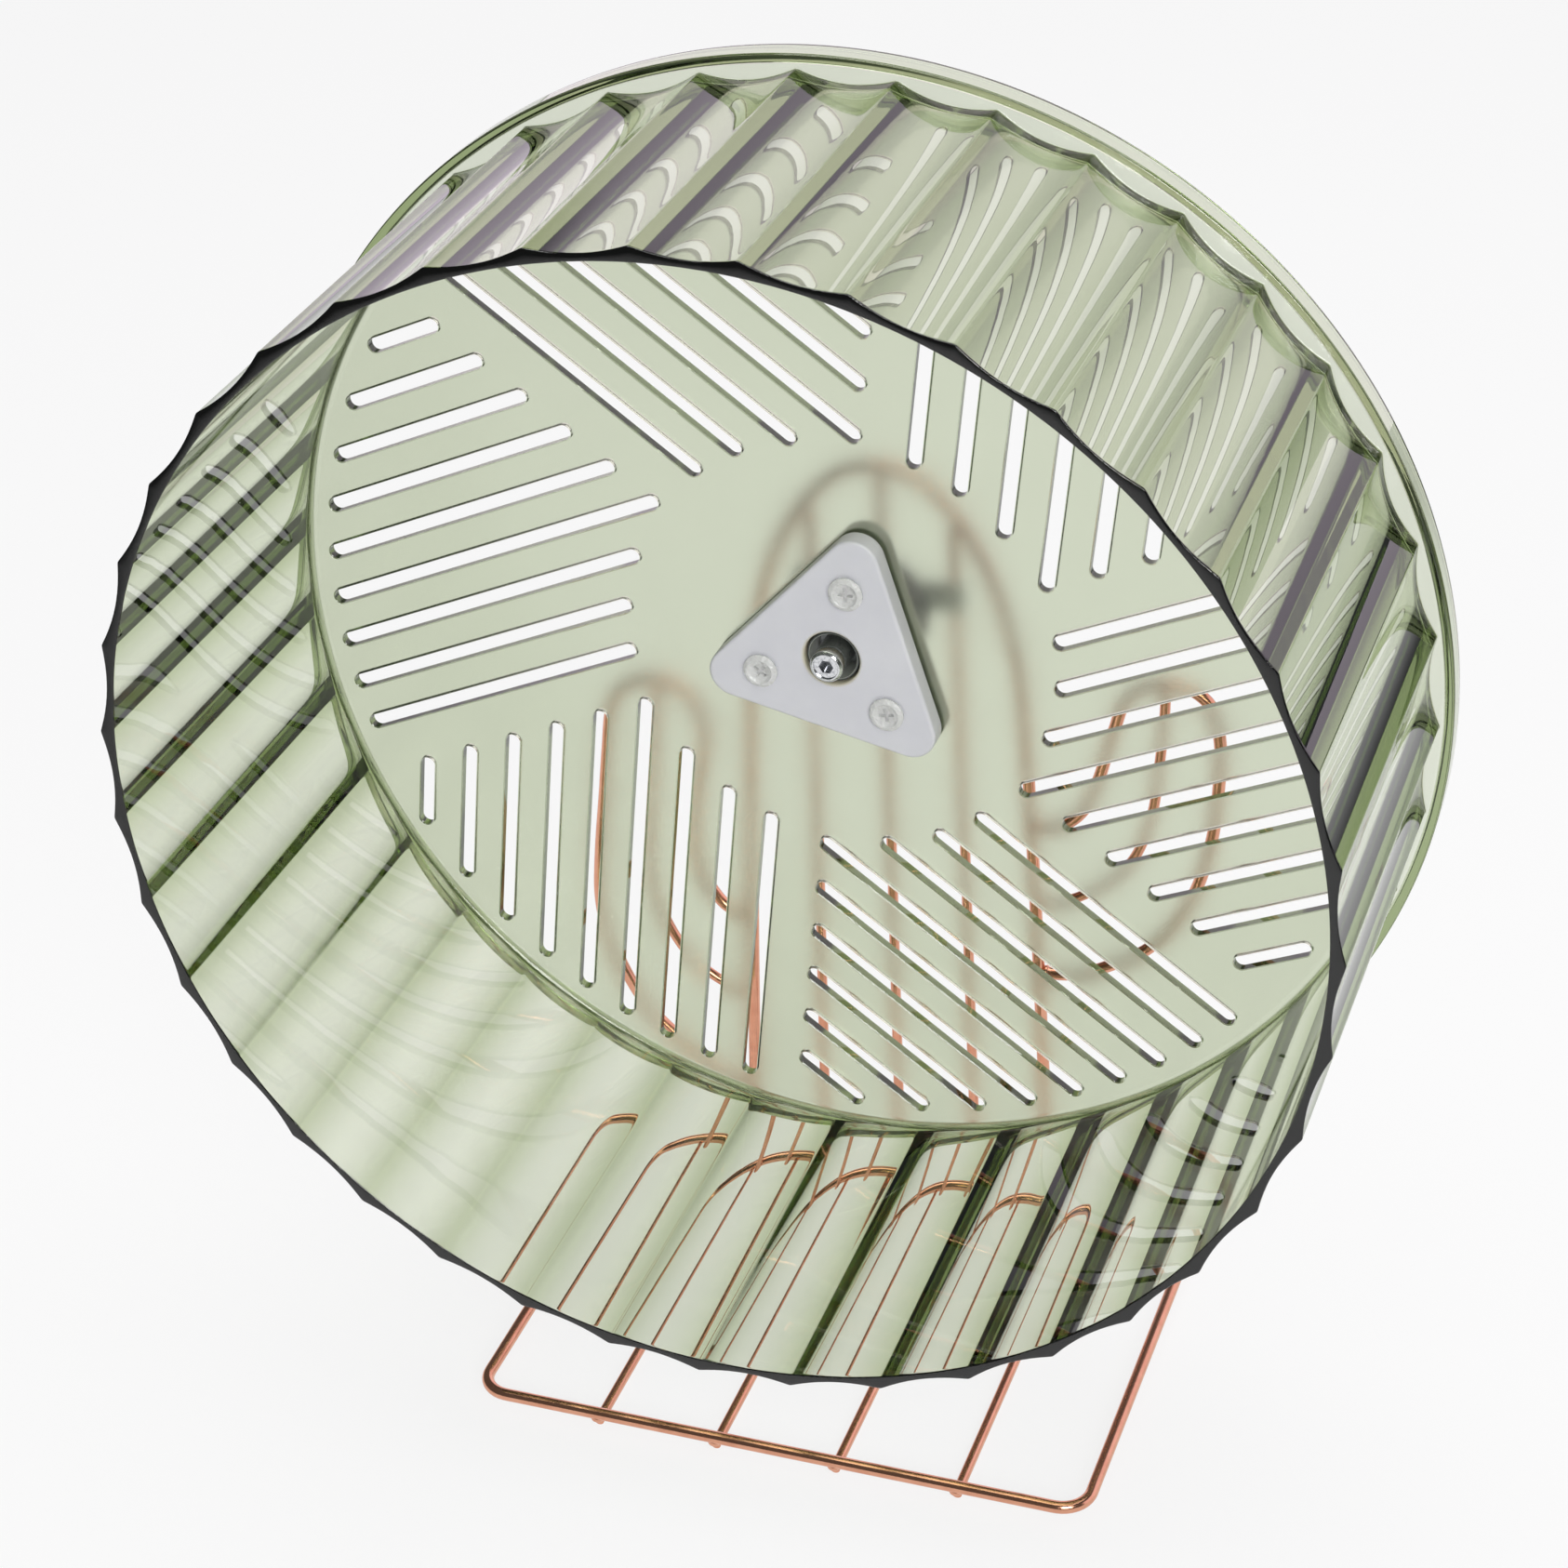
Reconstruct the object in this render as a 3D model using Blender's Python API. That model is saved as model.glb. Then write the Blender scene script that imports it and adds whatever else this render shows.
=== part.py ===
"""Hamster exercise wheel: a clear green fluted drum that turns on a wire stand.

Lengths are in metres, angles in degrees. +Z is up and +Y points to the back.
The origin lies on the surface that the stand rests on, under the middle of
the object. Depths along Y are counted from the front face of the drum's flange.
"""
import math

import bmesh
import bpy

# Clearances
WELD_GAP = 0.0003
FIT_GAP = 0.00015
OVERRUN = 0.002

# Running drum: fluted track, slotted back and rim flange in one moulding
TRACK_RADIUS = 0.130
TRACK_DEPTH = 0.0955
TRACK_WALL = 0.0016
RIDGE_HEIGHT_FRONT = 0.0018
RIDGE_HEIGHT_BACK = 0.0025
CORNER_FILLET = 0.0018
BACK_THICKNESS = 0.0024
BACK_STEP = 0.0008
FLANGE_REACH = 0.007
FLANGE_LIP_DEPTH = 0.0069
FLANGE_LIP_WALL = 0.0020
FLANGE_EDGE_CHAMFER = 0.0007
FLUTE_COUNT = 39
FLUTE_STEPS = 4
FLUTE_TURN = 4.3
REST_TURN = 23.2

# Air slots in the drum's back, in groups that run round the hub: shares of their outer radius
SLOT_GROUPS = 6
SLOTS_PER_GROUP = 9
SLOT_WIDTH = 0.0035
SLOT_EDGE_MARGIN = 0.0052
SLOT_FIRST_SHARE = 0.101
SLOT_LAST_SHARE = 0.7933
SLOT_INNER_SHARE = 0.4006
SLOT_END_STEPS = 5

# Hub plate, its screws and the housing flange behind the back
HUB_TURN = 53.5
HUB_CORNERS = 3
HUB_INRADIUS = 0.0182
HUB_CORNER_RADIUS = 0.006
HUB_THICKNESS = 0.0051
HUB_EDGE_BEVEL = 0.0006
HUB_BORE_RADIUS = 0.0065
HUB_BORE_BEVEL = 0.0007
SCREW_CIRCLE_RADIUS = 0.0175
SCREW_SHANK_RADIUS = 0.00175
SCREW_HEAD_RADIUS = 0.004
SCREW_HEAD_HEIGHT = 0.0012
SCREW_RECESS_LENGTH = 0.0038
SCREW_RECESS_WIDTH = 0.0008
SCREW_RECESS_DEPTH = 0.0007
HOUSING_FLANGE_THICKNESS = 0.0040
HOUSING_WALL = 0.0041
HOUSING_LENGTH = 0.0181
NOSE_BORE_RADIUS = 0.0056
NOSE_WALL = 0.0005
NOSE_REACH = 0.0050
HOUSING_SHOULDER = 0.0011

# Axle and the two ball bearings
AXLE_RADIUS = 0.00385
AXLE_FRONT_REACH = 0.0104
AXLE_END_CHAMFER = 0.0006
AXLE_END_RIM = 0.0004
AXLE_END_RECESS = 0.0004
HEX_SOCKET_FLATS = 0.0030
HEX_SOCKET_DEPTH = 0.0040
AXLE_GROOVE_DEPTH = 0.0007
COLLAR_RADIUS = 0.0058
CLIP_WIDTH = 0.0020
CLIP_THICKNESS = 0.0008
CLIP_OPENING = 70.0
BEARING_WIDTH = 0.0070
RING_WALL = 0.0020
RACE_SPACE = 0.0030
BALL_RADIUS = 0.001985
BALL_COUNT = 7
CAGE_WALL = 0.0009
CAGE_RIM = 0.0006
SHIELD_THICKNESS = 0.0003
SHIELD_INSET = 0.0002
SPACER_LENGTH = 0.0020
SPACER_WALL = 0.0012

# Strap that carries the axle on the stand
STRAP_THICKNESS = 0.0020
STRAP_HALF_LENGTH = 0.0205
STRAP_HEIGHT = 0.0070
STRAP_EYE_RADIUS = 0.0090

# Wire stand
FRAME_WIRE_RADIUS = 0.0015
THIN_WIRE_RADIUS = 0.00125
STAND_DEPTH = 0.0319
AXLE_OVER_FRAME = 0.17826
BASE_HALF_WIDTH = 0.075
BASE_FRONT_REACH = 0.0677
BASE_CORNER_RADIUS = 0.007
BASE_WIRE_COUNT = 4
BASE_WIRE_PITCH = 0.02965
BASE_WIRE_STOP = 0.0009

# Back frame arch: half width at the foot, top above the axle
ARCH_HALF_WIDTH = 0.0395
ARCH_TOP = 0.030
ARCH_SHARES = (
    (1.0, 0.0), (0.93, 0.376), (0.862, 0.664), (0.826, 0.76), (0.775, 0.808), (0.706, 0.856),
    (0.6, 0.904), (0.438, 0.952), (0.243, 0.988), (0.0, 1.0),
)
BODY_WIRE_TOP_OFFSET = 0.0172
BODY_WIRE_FOOT_OFFSET = 0.0202

# Left arm: inner edge, reach outwards, lowest point under the axle, height
LEFT_ARM_EDGE = 0.038
LEFT_ARM_REACH = 0.040
LEFT_ARM_FOOT = 0.149
LEFT_ARM_HEIGHT = 0.1155
LEFT_ARM_SHARES = (
    (0.10, 0.004), (0.24, 0.024), (0.42, 0.060), (0.61, 0.115), (0.75, 0.172), (0.86, 0.245),
    (0.955, 0.335), (0.99, 0.43), (0.963, 0.55), (0.905, 0.70), (0.862, 0.815), (0.82, 0.905),
    (0.72, 0.97), (0.50, 1.0), (0.29, 0.968), (0.205, 0.895), (0.235, 0.81), (0.285, 0.715),
    (0.313, 0.61), (0.275, 0.525), (0.17, 0.465), (0.08, 0.446),
)
LEFT_INNER_SHARES = (
    (0.51, 0.93), (0.565, 0.762), (0.605, 0.632), (0.622, 0.53), (0.60, 0.445), (0.52, 0.368),
    (0.40, 0.305), (0.24, 0.262), (0.11, 0.244),
)

# Right arm, with the same four sizes
RIGHT_ARM_EDGE = 0.036
RIGHT_ARM_REACH = 0.044
RIGHT_ARM_FOOT = 0.1015
RIGHT_ARM_HEIGHT = 0.085
RIGHT_ARM_SHARES = (
    (0.13, 0.001), (0.24, 0.012), (0.37, 0.043), (0.58, 0.112), (0.70, 0.176), (0.811, 0.265),
    (0.902, 0.375), (0.968, 0.525), (0.995, 0.676), (0.998, 0.83), (0.93, 0.95), (0.716, 1.0),
    (0.515, 0.945), (0.43, 0.825), (0.355, 0.675), (0.28, 0.57), (0.18, 0.51), (0.08, 0.493),
)
RIGHT_INNER_SHARES = (
    (0.70, 0.90), (0.678, 0.747), (0.643, 0.582), (0.555, 0.434), (0.42, 0.344), (0.24, 0.27),
    (0.11, 0.245),
)

# Points across a ring's ball groove, as shares of its half width
RACE_SHARES = (-1.0, -0.6, 0.0, 0.6, 1.0)

# Smoothness
SHARP_ANGLE = 35.0
ROUND_SIDES = 32
BEARING_SIDES = 24
SCREW_SIDES = 16
POCKET_SIDES = 12
HUB_ARC_STEPS = 5
WIRE_SIDES = 12
WIRE_SPLINE_STEPS = 2
WIRE_BEVEL_RESOLUTION = 2
CORNER_STEPS = 5

# Places that follow from the sizes
FLANGE_RADIUS = TRACK_RADIUS + FLANGE_REACH
SLOT_OUTER_RADIUS = TRACK_RADIUS - SLOT_EDGE_MARGIN
SLOT_INNER_RADIUS = SLOT_OUTER_RADIUS * SLOT_INNER_SHARE
BASE_WIRE_Z = THIN_WIRE_RADIUS * math.cos(math.pi / WIRE_SIDES)
FRAME_Z = BASE_WIRE_Z + THIN_WIRE_RADIUS + WELD_GAP + FRAME_WIRE_RADIUS
AXLE_Z = FRAME_Z + AXLE_OVER_FRAME
REAR_BAR_DEPTH = STAND_DEPTH + FRAME_WIRE_RADIUS * 2 + WELD_GAP
BODY_WIRE_DEPTH = REAR_BAR_DEPTH - FRAME_WIRE_RADIUS - WELD_GAP - THIN_WIRE_RADIUS
FLANGE_Y = (TRACK_DEPTH - REAR_BAR_DEPTH - FRAME_WIRE_RADIUS) / 2
STRAP_BACK = BODY_WIRE_DEPTH - THIN_WIRE_RADIUS - WELD_GAP
STRAP_FRONT = STRAP_BACK - STRAP_THICKNESS
BACK_FRONT = -BACK_STEP
BACK_REAR = BACK_FRONT + BACK_THICKNESS
HUB_REAR = BACK_FRONT - WELD_GAP
HUB_FRONT = HUB_REAR - HUB_THICKNESS
HOUSING_FRONT = BACK_REAR + WELD_GAP
HOUSING_REAR = HOUSING_FRONT + HOUSING_LENGTH
SHOULDER_DEPTH = HOUSING_FRONT + HOUSING_SHOULDER
FRONT_BEARING = SHOULDER_DEPTH + FIT_GAP
SPACER_FRONT = FRONT_BEARING + BEARING_WIDTH + FIT_GAP
REAR_BEARING = SPACER_FRONT + SPACER_LENGTH + FIT_GAP
COLLAR_FRONT = REAR_BEARING + BEARING_WIDTH + FIT_GAP
RING_BORE = AXLE_RADIUS + FIT_GAP
INNER_LAND = RING_BORE + RING_WALL
PITCH_RADIUS = INNER_LAND + RACE_SPACE / 2
OUTER_LAND = INNER_LAND + RACE_SPACE
BEARING_RADIUS = OUTER_LAND + RING_WALL
HOUSING_BORE = BEARING_RADIUS + FIT_GAP
HOUSING_RADIUS = HOUSING_BORE + HOUSING_WALL
SCREW_HOLE_RADIUS = SCREW_SHANK_RADIUS + WELD_GAP
NOSE_RADIUS = NOSE_BORE_RADIUS + NOSE_WALL


def clear_scene():
    """Remove what the scene starts with."""
    for item in list(bpy.data.objects):
        bpy.data.objects.remove(item, do_unlink=True)


def make_material(name, colour, roughness, metallic, alpha=1.0):
    """A plain surface with one colour."""
    material = bpy.data.materials.new(name)
    material.use_nodes = True
    shader = material.node_tree.nodes["Principled BSDF"]
    shader.inputs["Base Color"].default_value = (*colour, 1.0)
    shader.inputs["Roughness"].default_value = roughness
    shader.inputs["Metallic"].default_value = metallic
    shader.inputs["Alpha"].default_value = alpha
    return material


def rose_gold(name):
    """Rose-gold plating on steel wire."""
    return make_material(name, (0.72, 0.32, 0.21), 0.22, 1.0)


def bright_steel(name):
    """Polished steel."""
    return make_material(name, (0.62, 0.62, 0.62), 0.20, 1.0)


def dark_plastic(name):
    """Dark grey moulded plastic."""
    return make_material(name, (0.05, 0.06, 0.06), 0.45, 0.0)


def clear_green(name):
    """Transparent green moulded plastic."""
    return make_material(name, (0.36, 0.46, 0.30), 0.08, 0.0, 0.45)


def milky_plastic(name):
    """Milky white moulded plastic."""
    return make_material(name, (0.56, 0.56, 0.61), 0.35, 0.0)


def clear_plastic(name):
    """Colourless clear plastic."""
    return make_material(name, (0.80, 0.80, 0.80), 0.05, 0.0, 0.45)


def make_empty(name, turn=0.0):
    """An empty on the axle, turned about it as the moving piece rests."""
    empty = bpy.data.objects.new(name, None)
    bpy.context.scene.collection.objects.link(empty)
    empty.location = (0.0, FLANGE_Y, AXLE_Z)
    empty.rotation_euler = (0.0, -math.radians(turn), 0.0)
    return empty


def make_object(name, data, material, parent=None, location=(0.0, 0.0, 0.0)):
    """Put a mesh or a curve in the scene as one named piece."""
    piece = bpy.data.objects.new(name, data)
    bpy.context.scene.collection.objects.link(piece)
    if material is not None:
        data.materials.append(material(name))
    piece.parent = parent
    piece.location = location
    return piece


def finish_mesh(bm, name, crease=SHARP_ANGLE):
    """Turn a bmesh into a mesh with outward normals and smooth round faces."""
    bmesh.ops.recalc_face_normals(bm, faces=bm.faces)
    mesh = bpy.data.meshes.new(name)
    bm.to_mesh(mesh)
    bm.free()
    mesh.shade_smooth()
    mesh.set_sharp_from_angle(angle=math.radians(crease))
    return mesh


def add_skin(bm, loops, closed):
    """Faces between neighbouring loops, closed in a ring or by end caps."""
    rings = [[bm.verts.new(point) for point in loop] for loop in loops]
    pairs = list(zip(rings, rings[1:]))
    if closed:
        pairs.append((rings[-1], rings[0]))
    for first, second in pairs:
        for index in range(len(first)):
            following = (index + 1) % len(first)
            bm.faces.new((first[index], first[following], second[following], second[index]))
    if not closed:
        bm.faces.new(rings[0])
        bm.faces.new(rings[-1])


def circle(radius, depth, sides, centre=(0.0, 0.0)):
    """Points round a circle that lies square to the axle."""
    points = []
    for index in range(sides):
        angle = 2 * math.pi * index / sides
        across = centre[0] + radius * math.cos(angle)
        height = centre[1] + radius * math.sin(angle)
        points.append((across, depth, height))
    return points


def turned_mesh(name, profile, sides, closed):
    """A solid turned about the axle from (radius, depth) pairs."""
    bm = bmesh.new()
    add_skin(bm, [circle(radius, depth, sides) for radius, depth in profile], closed)
    return finish_mesh(bm, name)


def make_cutter(name, bm, parent=None):
    """A shape that only cuts or joins, and isn't a piece."""
    cutter = make_object(name, finish_mesh(bm, name), None, parent)
    cutter.hide_render = True
    cutter.display_type = "WIRE"
    return cutter


def apply_shape(piece, other, operation):
    """Cut a piece with another shape, or join the two."""
    modifier = piece.modifiers.new(operation.title(), "BOOLEAN")
    modifier.operation = operation
    modifier.object = other


def rounded_corners(inradius, corner_radius, depth, turn):
    """Outline of the hub plate: equal sides with round corners."""
    reach = (inradius - corner_radius) / math.cos(math.pi / HUB_CORNERS)
    half_arc = math.pi / HUB_CORNERS
    points = []
    for corner in range(HUB_CORNERS):
        middle = math.radians(turn) + 2 * math.pi * corner / HUB_CORNERS
        for step in range(HUB_ARC_STEPS + 1):
            angle = middle - half_arc + 2 * half_arc * step / HUB_ARC_STEPS
            across = reach * math.cos(middle) + corner_radius * math.cos(angle)
            height = reach * math.sin(middle) + corner_radius * math.sin(angle)
            points.append((across, depth, height))
    return points


def screw_places():
    """Centres of the hub screws, seen along the axle."""
    places = []
    for corner in range(HUB_CORNERS):
        angle = math.radians(HUB_TURN) + 2 * math.pi * corner / HUB_CORNERS
        across = SCREW_CIRCLE_RADIUS * math.cos(angle)
        height = SCREW_CIRCLE_RADIUS * math.sin(angle)
        places.append((across, height))
    return places


def add_screw_holes(bm, front, rear):
    """Cutters for the three screw holes between two depths."""
    for place in screw_places():
        ends = [front - OVERRUN, rear + OVERRUN]
        loops = [circle(SCREW_HOLE_RADIUS, depth, SCREW_SIDES, place) for depth in ends]
        add_skin(bm, loops, False)


def slot_ends():
    """Centres of the two round ends of each slot, in its own direction's frame."""
    ends = []
    radius = SLOT_WIDTH / 2
    half_group = math.pi / SLOT_GROUPS
    spread = SLOT_LAST_SHARE - SLOT_FIRST_SHARE
    for index in range(SLOTS_PER_GROUP):
        share = SLOT_FIRST_SHARE + spread * index / (SLOTS_PER_GROUP - 1)
        offset = SLOT_OUTER_RADIUS * share
        outer = math.sqrt(SLOT_OUTER_RADIUS ** 2 - offset ** 2)
        inner = offset * math.tan(half_group)
        if offset < SLOT_INNER_RADIUS:
            inner = max(inner, math.sqrt(SLOT_INNER_RADIUS ** 2 - offset ** 2))
        ends.append((-outer + radius, -inner - radius, offset))
    return ends


def slot_loop(start, end, offset, turn, depth):
    """Outline of one slot with round ends."""
    points = []
    radius = SLOT_WIDTH / 2
    for centre, first in ((end, -math.pi / 2), (start, math.pi / 2)):
        for step in range(SLOT_END_STEPS + 1):
            angle = first + math.pi * step / SLOT_END_STEPS
            along = centre + radius * math.cos(angle)
            aside = offset + radius * math.sin(angle)
            across = along * math.cos(turn) - aside * math.sin(turn)
            height = along * math.sin(turn) + aside * math.cos(turn)
            points.append((across, depth, height))
    return points


def make_slot_cutter(parent):
    """All air slots, and the holes for the hub screws."""
    bm = bmesh.new()
    front = BACK_FRONT - OVERRUN
    rear = BACK_REAR + OVERRUN
    for group in range(SLOT_GROUPS):
        turn = 2 * math.pi * group / SLOT_GROUPS
        for start, end, offset in slot_ends():
            loops = [slot_loop(start, end, offset, turn, depth) for depth in (front, rear)]
            add_skin(bm, loops, False)
    add_screw_holes(bm, BACK_FRONT, BACK_REAR)
    return make_cutter("slot_cutter", bm, parent)


def fluted_loop(ridge_height, depth):
    """Outside of the track: hollow flutes that meet in ridges."""
    points = []
    columns = FLUTE_COUNT * FLUTE_STEPS
    for index in range(columns):
        share = (index % FLUTE_STEPS) / FLUTE_STEPS
        radius = TRACK_RADIUS + TRACK_WALL + ridge_height * (2 * share - 1) ** 2
        angle = math.radians(FLUTE_TURN) + 2 * math.pi * index / columns
        points.append((radius * math.cos(angle), depth, radius * math.sin(angle)))
    return points


def drum_loop(radius, depth):
    """A round loop with as many points as the fluted outside."""
    points = []
    columns = FLUTE_COUNT * FLUTE_STEPS
    for index in range(columns):
        angle = math.radians(FLUTE_TURN) + 2 * math.pi * index / columns
        points.append((radius * math.cos(angle), depth, radius * math.sin(angle)))
    return points


def drum_loops():
    """Loops from the back's rear edge out round the flange, rim and track to its front edge."""
    lip_inside = FLANGE_RADIUS - FLANGE_LIP_WALL
    fillet_edge = TRACK_RADIUS - CORNER_FILLET
    fillet_middle = CORNER_FILLET * (1 - math.cos(math.pi / 4))
    return [
        drum_loop(lip_inside, BACK_REAR),
        drum_loop(lip_inside, FLANGE_LIP_DEPTH),
        drum_loop(FLANGE_RADIUS, FLANGE_LIP_DEPTH),
        drum_loop(FLANGE_RADIUS, FLANGE_EDGE_CHAMFER),
        drum_loop(FLANGE_RADIUS - FLANGE_EDGE_CHAMFER, 0.0),
        fluted_loop(RIDGE_HEIGHT_BACK, 0.0),
        fluted_loop(RIDGE_HEIGHT_FRONT, -TRACK_DEPTH),
        drum_loop(TRACK_RADIUS, -TRACK_DEPTH),
        drum_loop(TRACK_RADIUS, BACK_FRONT - CORNER_FILLET),
        drum_loop(TRACK_RADIUS - fillet_middle, BACK_FRONT - fillet_middle),
        drum_loop(fillet_edge, BACK_FRONT),
    ]


def add_back_face(bm, outer, inner):
    """Flat face of the back, in one large sector for each group of slots."""
    outer_span = len(outer) // SLOT_GROUPS
    inner_span = len(inner) // SLOT_GROUPS
    for sector in range(SLOT_GROUPS):
        edge = [outer[(sector * outer_span + step) % len(outer)] for step in range(outer_span + 1)]
        hub = [inner[(sector * inner_span + step) % len(inner)] for step in range(inner_span + 1)]
        bm.faces.new(edge + hub[::-1])


def make_running_drum(parent):
    """The clear green drum."""
    bm = bmesh.new()
    rings = [[bm.verts.new(point) for point in loop] for loop in drum_loops()]
    for first, second in zip(rings, rings[1:]):
        for index in range(len(first)):
            following = (index + 1) % len(first)
            bm.faces.new((first[index], first[following], second[following], second[index]))
    bore_radius = NOSE_RADIUS + WELD_GAP
    bore_sides = SLOT_GROUPS * HUB_ARC_STEPS
    front = [bm.verts.new(point) for point in circle(bore_radius, BACK_FRONT, bore_sides)]
    rear = [bm.verts.new(point) for point in circle(bore_radius, BACK_REAR, bore_sides)]
    for index in range(bore_sides):
        following = (index + 1) % bore_sides
        bm.faces.new((front[index], front[following], rear[following], rear[index]))
    add_back_face(bm, rings[-1], front)
    add_back_face(bm, rings[0], rear)
    drum = make_object("running_drum", finish_mesh(bm, "running_drum"), clear_green, parent)
    apply_shape(drum, make_slot_cutter(parent), "DIFFERENCE")


def make_hub_plate(parent):
    """The milky plate with three corners."""
    bm = bmesh.new()
    loops = [
        rounded_corners(HUB_INRADIUS, HUB_CORNER_RADIUS, HUB_REAR, HUB_TURN),
        rounded_corners(HUB_INRADIUS, HUB_CORNER_RADIUS, HUB_FRONT + HUB_EDGE_BEVEL, HUB_TURN),
        rounded_corners(HUB_INRADIUS - HUB_EDGE_BEVEL, HUB_CORNER_RADIUS - HUB_EDGE_BEVEL,
                        HUB_FRONT, HUB_TURN),
    ]
    add_skin(bm, loops, False)
    plate = make_object("hub_plate", finish_mesh(bm, "hub_plate"), milky_plastic, parent)
    holes = bmesh.new()
    add_screw_holes(holes, HUB_FRONT, HUB_REAR)
    bore = [
        circle(HUB_BORE_RADIUS + HUB_BORE_BEVEL + OVERRUN, HUB_FRONT - OVERRUN, ROUND_SIDES),
        circle(HUB_BORE_RADIUS, HUB_FRONT + HUB_BORE_BEVEL, ROUND_SIDES),
        circle(HUB_BORE_RADIUS, HUB_REAR + OVERRUN, ROUND_SIDES),
    ]
    add_skin(holes, bore, False)
    apply_shape(plate, make_cutter("plate_cutter", holes, parent), "DIFFERENCE")


def make_hub_screw(number, place, parent):
    """A clear screw with a pan head and a cross recess."""
    seat = HUB_FRONT - WELD_GAP
    crown = seat - SCREW_HEAD_HEIGHT
    rounding = SCREW_HEAD_HEIGHT / 2
    tip = HOUSING_FRONT + HOUSING_FLANGE_THICKNESS - WELD_GAP
    profile = [
        (SCREW_HEAD_RADIUS - rounding, crown),
        (SCREW_HEAD_RADIUS, crown + rounding),
        (SCREW_HEAD_RADIUS, seat),
        (SCREW_SHANK_RADIUS, seat),
        (SCREW_SHANK_RADIUS, tip - rounding),
        (SCREW_SHANK_RADIUS - rounding, tip),
    ]
    name = "hub_screw_" + str(number)
    mesh = turned_mesh(name, profile, SCREW_SIDES, False)
    screw = make_object(name, mesh, clear_plastic, parent, (place[0], 0.0, place[1]))
    recess = bmesh.new()
    half_length = SCREW_RECESS_LENGTH / 2
    half_width = SCREW_RECESS_WIDTH / 2
    corners = [
        (half_length, half_width), (half_width, half_width), (half_width, half_length),
        (-half_width, half_length), (-half_width, half_width), (-half_length, half_width),
        (-half_length, -half_width), (-half_width, -half_width), (-half_width, -half_length),
        (half_width, -half_length), (half_width, -half_width), (half_length, -half_width),
    ]
    loops = []
    for depth in (crown - OVERRUN, crown + SCREW_RECESS_DEPTH):
        loops.append([(place[0] + across, depth, place[1] + height) for across, height in corners])
    add_skin(recess, loops, False)
    apply_shape(screw, make_cutter(name + "_recess", recess, parent), "DIFFERENCE")


def make_bearing_housing(parent):
    """Dark barrel for the bearings, with a nose through the drum and a flange behind it."""
    flange_rear = HOUSING_FRONT + HOUSING_FLANGE_THICKNESS
    bm = bmesh.new()
    loops = []
    for depth in (HOUSING_FRONT, flange_rear):
        loops.append(rounded_corners(HUB_INRADIUS, HUB_CORNER_RADIUS, depth, HUB_TURN))
    add_skin(bm, loops, False)
    housing = make_object("bearing_housing", finish_mesh(bm, "bearing_housing"), dark_plastic, parent)
    holes = bmesh.new()
    add_screw_holes(holes, HOUSING_FRONT, flange_rear)
    opening = HOUSING_BORE + HOUSING_WALL / 2
    ends = (HOUSING_FRONT - OVERRUN, flange_rear + OVERRUN)
    add_skin(holes, [circle(opening, depth, ROUND_SIDES) for depth in ends], False)
    apply_shape(housing, make_cutter("flange_cutter", holes, parent), "DIFFERENCE")
    barrel = bmesh.new()
    profile = [
        (NOSE_BORE_RADIUS, -NOSE_REACH),
        (NOSE_RADIUS, -NOSE_REACH),
        (NOSE_RADIUS, HOUSING_FRONT),
        (HOUSING_RADIUS, HOUSING_FRONT),
        (HOUSING_RADIUS, HOUSING_REAR),
        (HOUSING_BORE, HOUSING_REAR),
        (HOUSING_BORE, SHOULDER_DEPTH),
        (NOSE_BORE_RADIUS, SHOULDER_DEPTH),
    ]
    add_skin(barrel, [circle(radius, depth, ROUND_SIDES) for radius, depth in profile], True)
    apply_shape(housing, make_cutter("housing_barrel", barrel, parent), "UNION")


def race_points(land, side, front):
    """Points of a ring's ball groove, side +1 on an inner ring and -1 on an outer one."""
    groove = BALL_RADIUS + FIT_GAP
    half_space = RACE_SPACE / 2
    half_width = math.sqrt(groove ** 2 - half_space ** 2)
    middle = front + BEARING_WIDTH / 2
    points = []
    for share in RACE_SHARES:
        along = half_width * share
        dip = math.sqrt(groove ** 2 - along ** 2) - half_space
        points.append((land - side * dip, middle + along))
    return points


def make_inner_ring(name, front):
    """Inner ring, fixed on the axle."""
    rear = front + BEARING_WIDTH
    profile = [(RING_BORE, rear), (RING_BORE, front), (INNER_LAND, front)]
    profile += race_points(INNER_LAND, 1, front)
    profile.append((INNER_LAND, rear))
    place = (0.0, FLANGE_Y, AXLE_Z)
    make_object(name, turned_mesh(name, profile, BEARING_SIDES, True), bright_steel, None, place)


def make_outer_ring(name, front, parent):
    """Outer ring, pressed into the housing."""
    rear = front + BEARING_WIDTH
    profile = [(BEARING_RADIUS, rear), (BEARING_RADIUS, front), (OUTER_LAND, front)]
    profile += race_points(OUTER_LAND, -1, front)
    profile.append((OUTER_LAND, rear))
    make_object(name, turned_mesh(name, profile, BEARING_SIDES, True), bright_steel, parent)


def make_shields(label, front, parent):
    """Two thin washers that close a bearing at its front and rear."""
    inside = INNER_LAND + FIT_GAP
    outside = OUTER_LAND - FIT_GAP
    rear = front + BEARING_WIDTH
    starts = (front + SHIELD_INSET, rear - SHIELD_INSET - SHIELD_THICKNESS)
    for number, start in enumerate(starts, start=1):
        end = start + SHIELD_THICKNESS
        profile = [(inside, start), (outside, start), (outside, end), (inside, end)]
        name = label + "_shield_" + str(number)
        make_object(name, turned_mesh(name, profile, BEARING_SIDES, True), bright_steel, parent)


def ball_angles():
    """Places of the balls round the axle."""
    return [2 * math.pi * index / BALL_COUNT for index in range(BALL_COUNT)]


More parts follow.
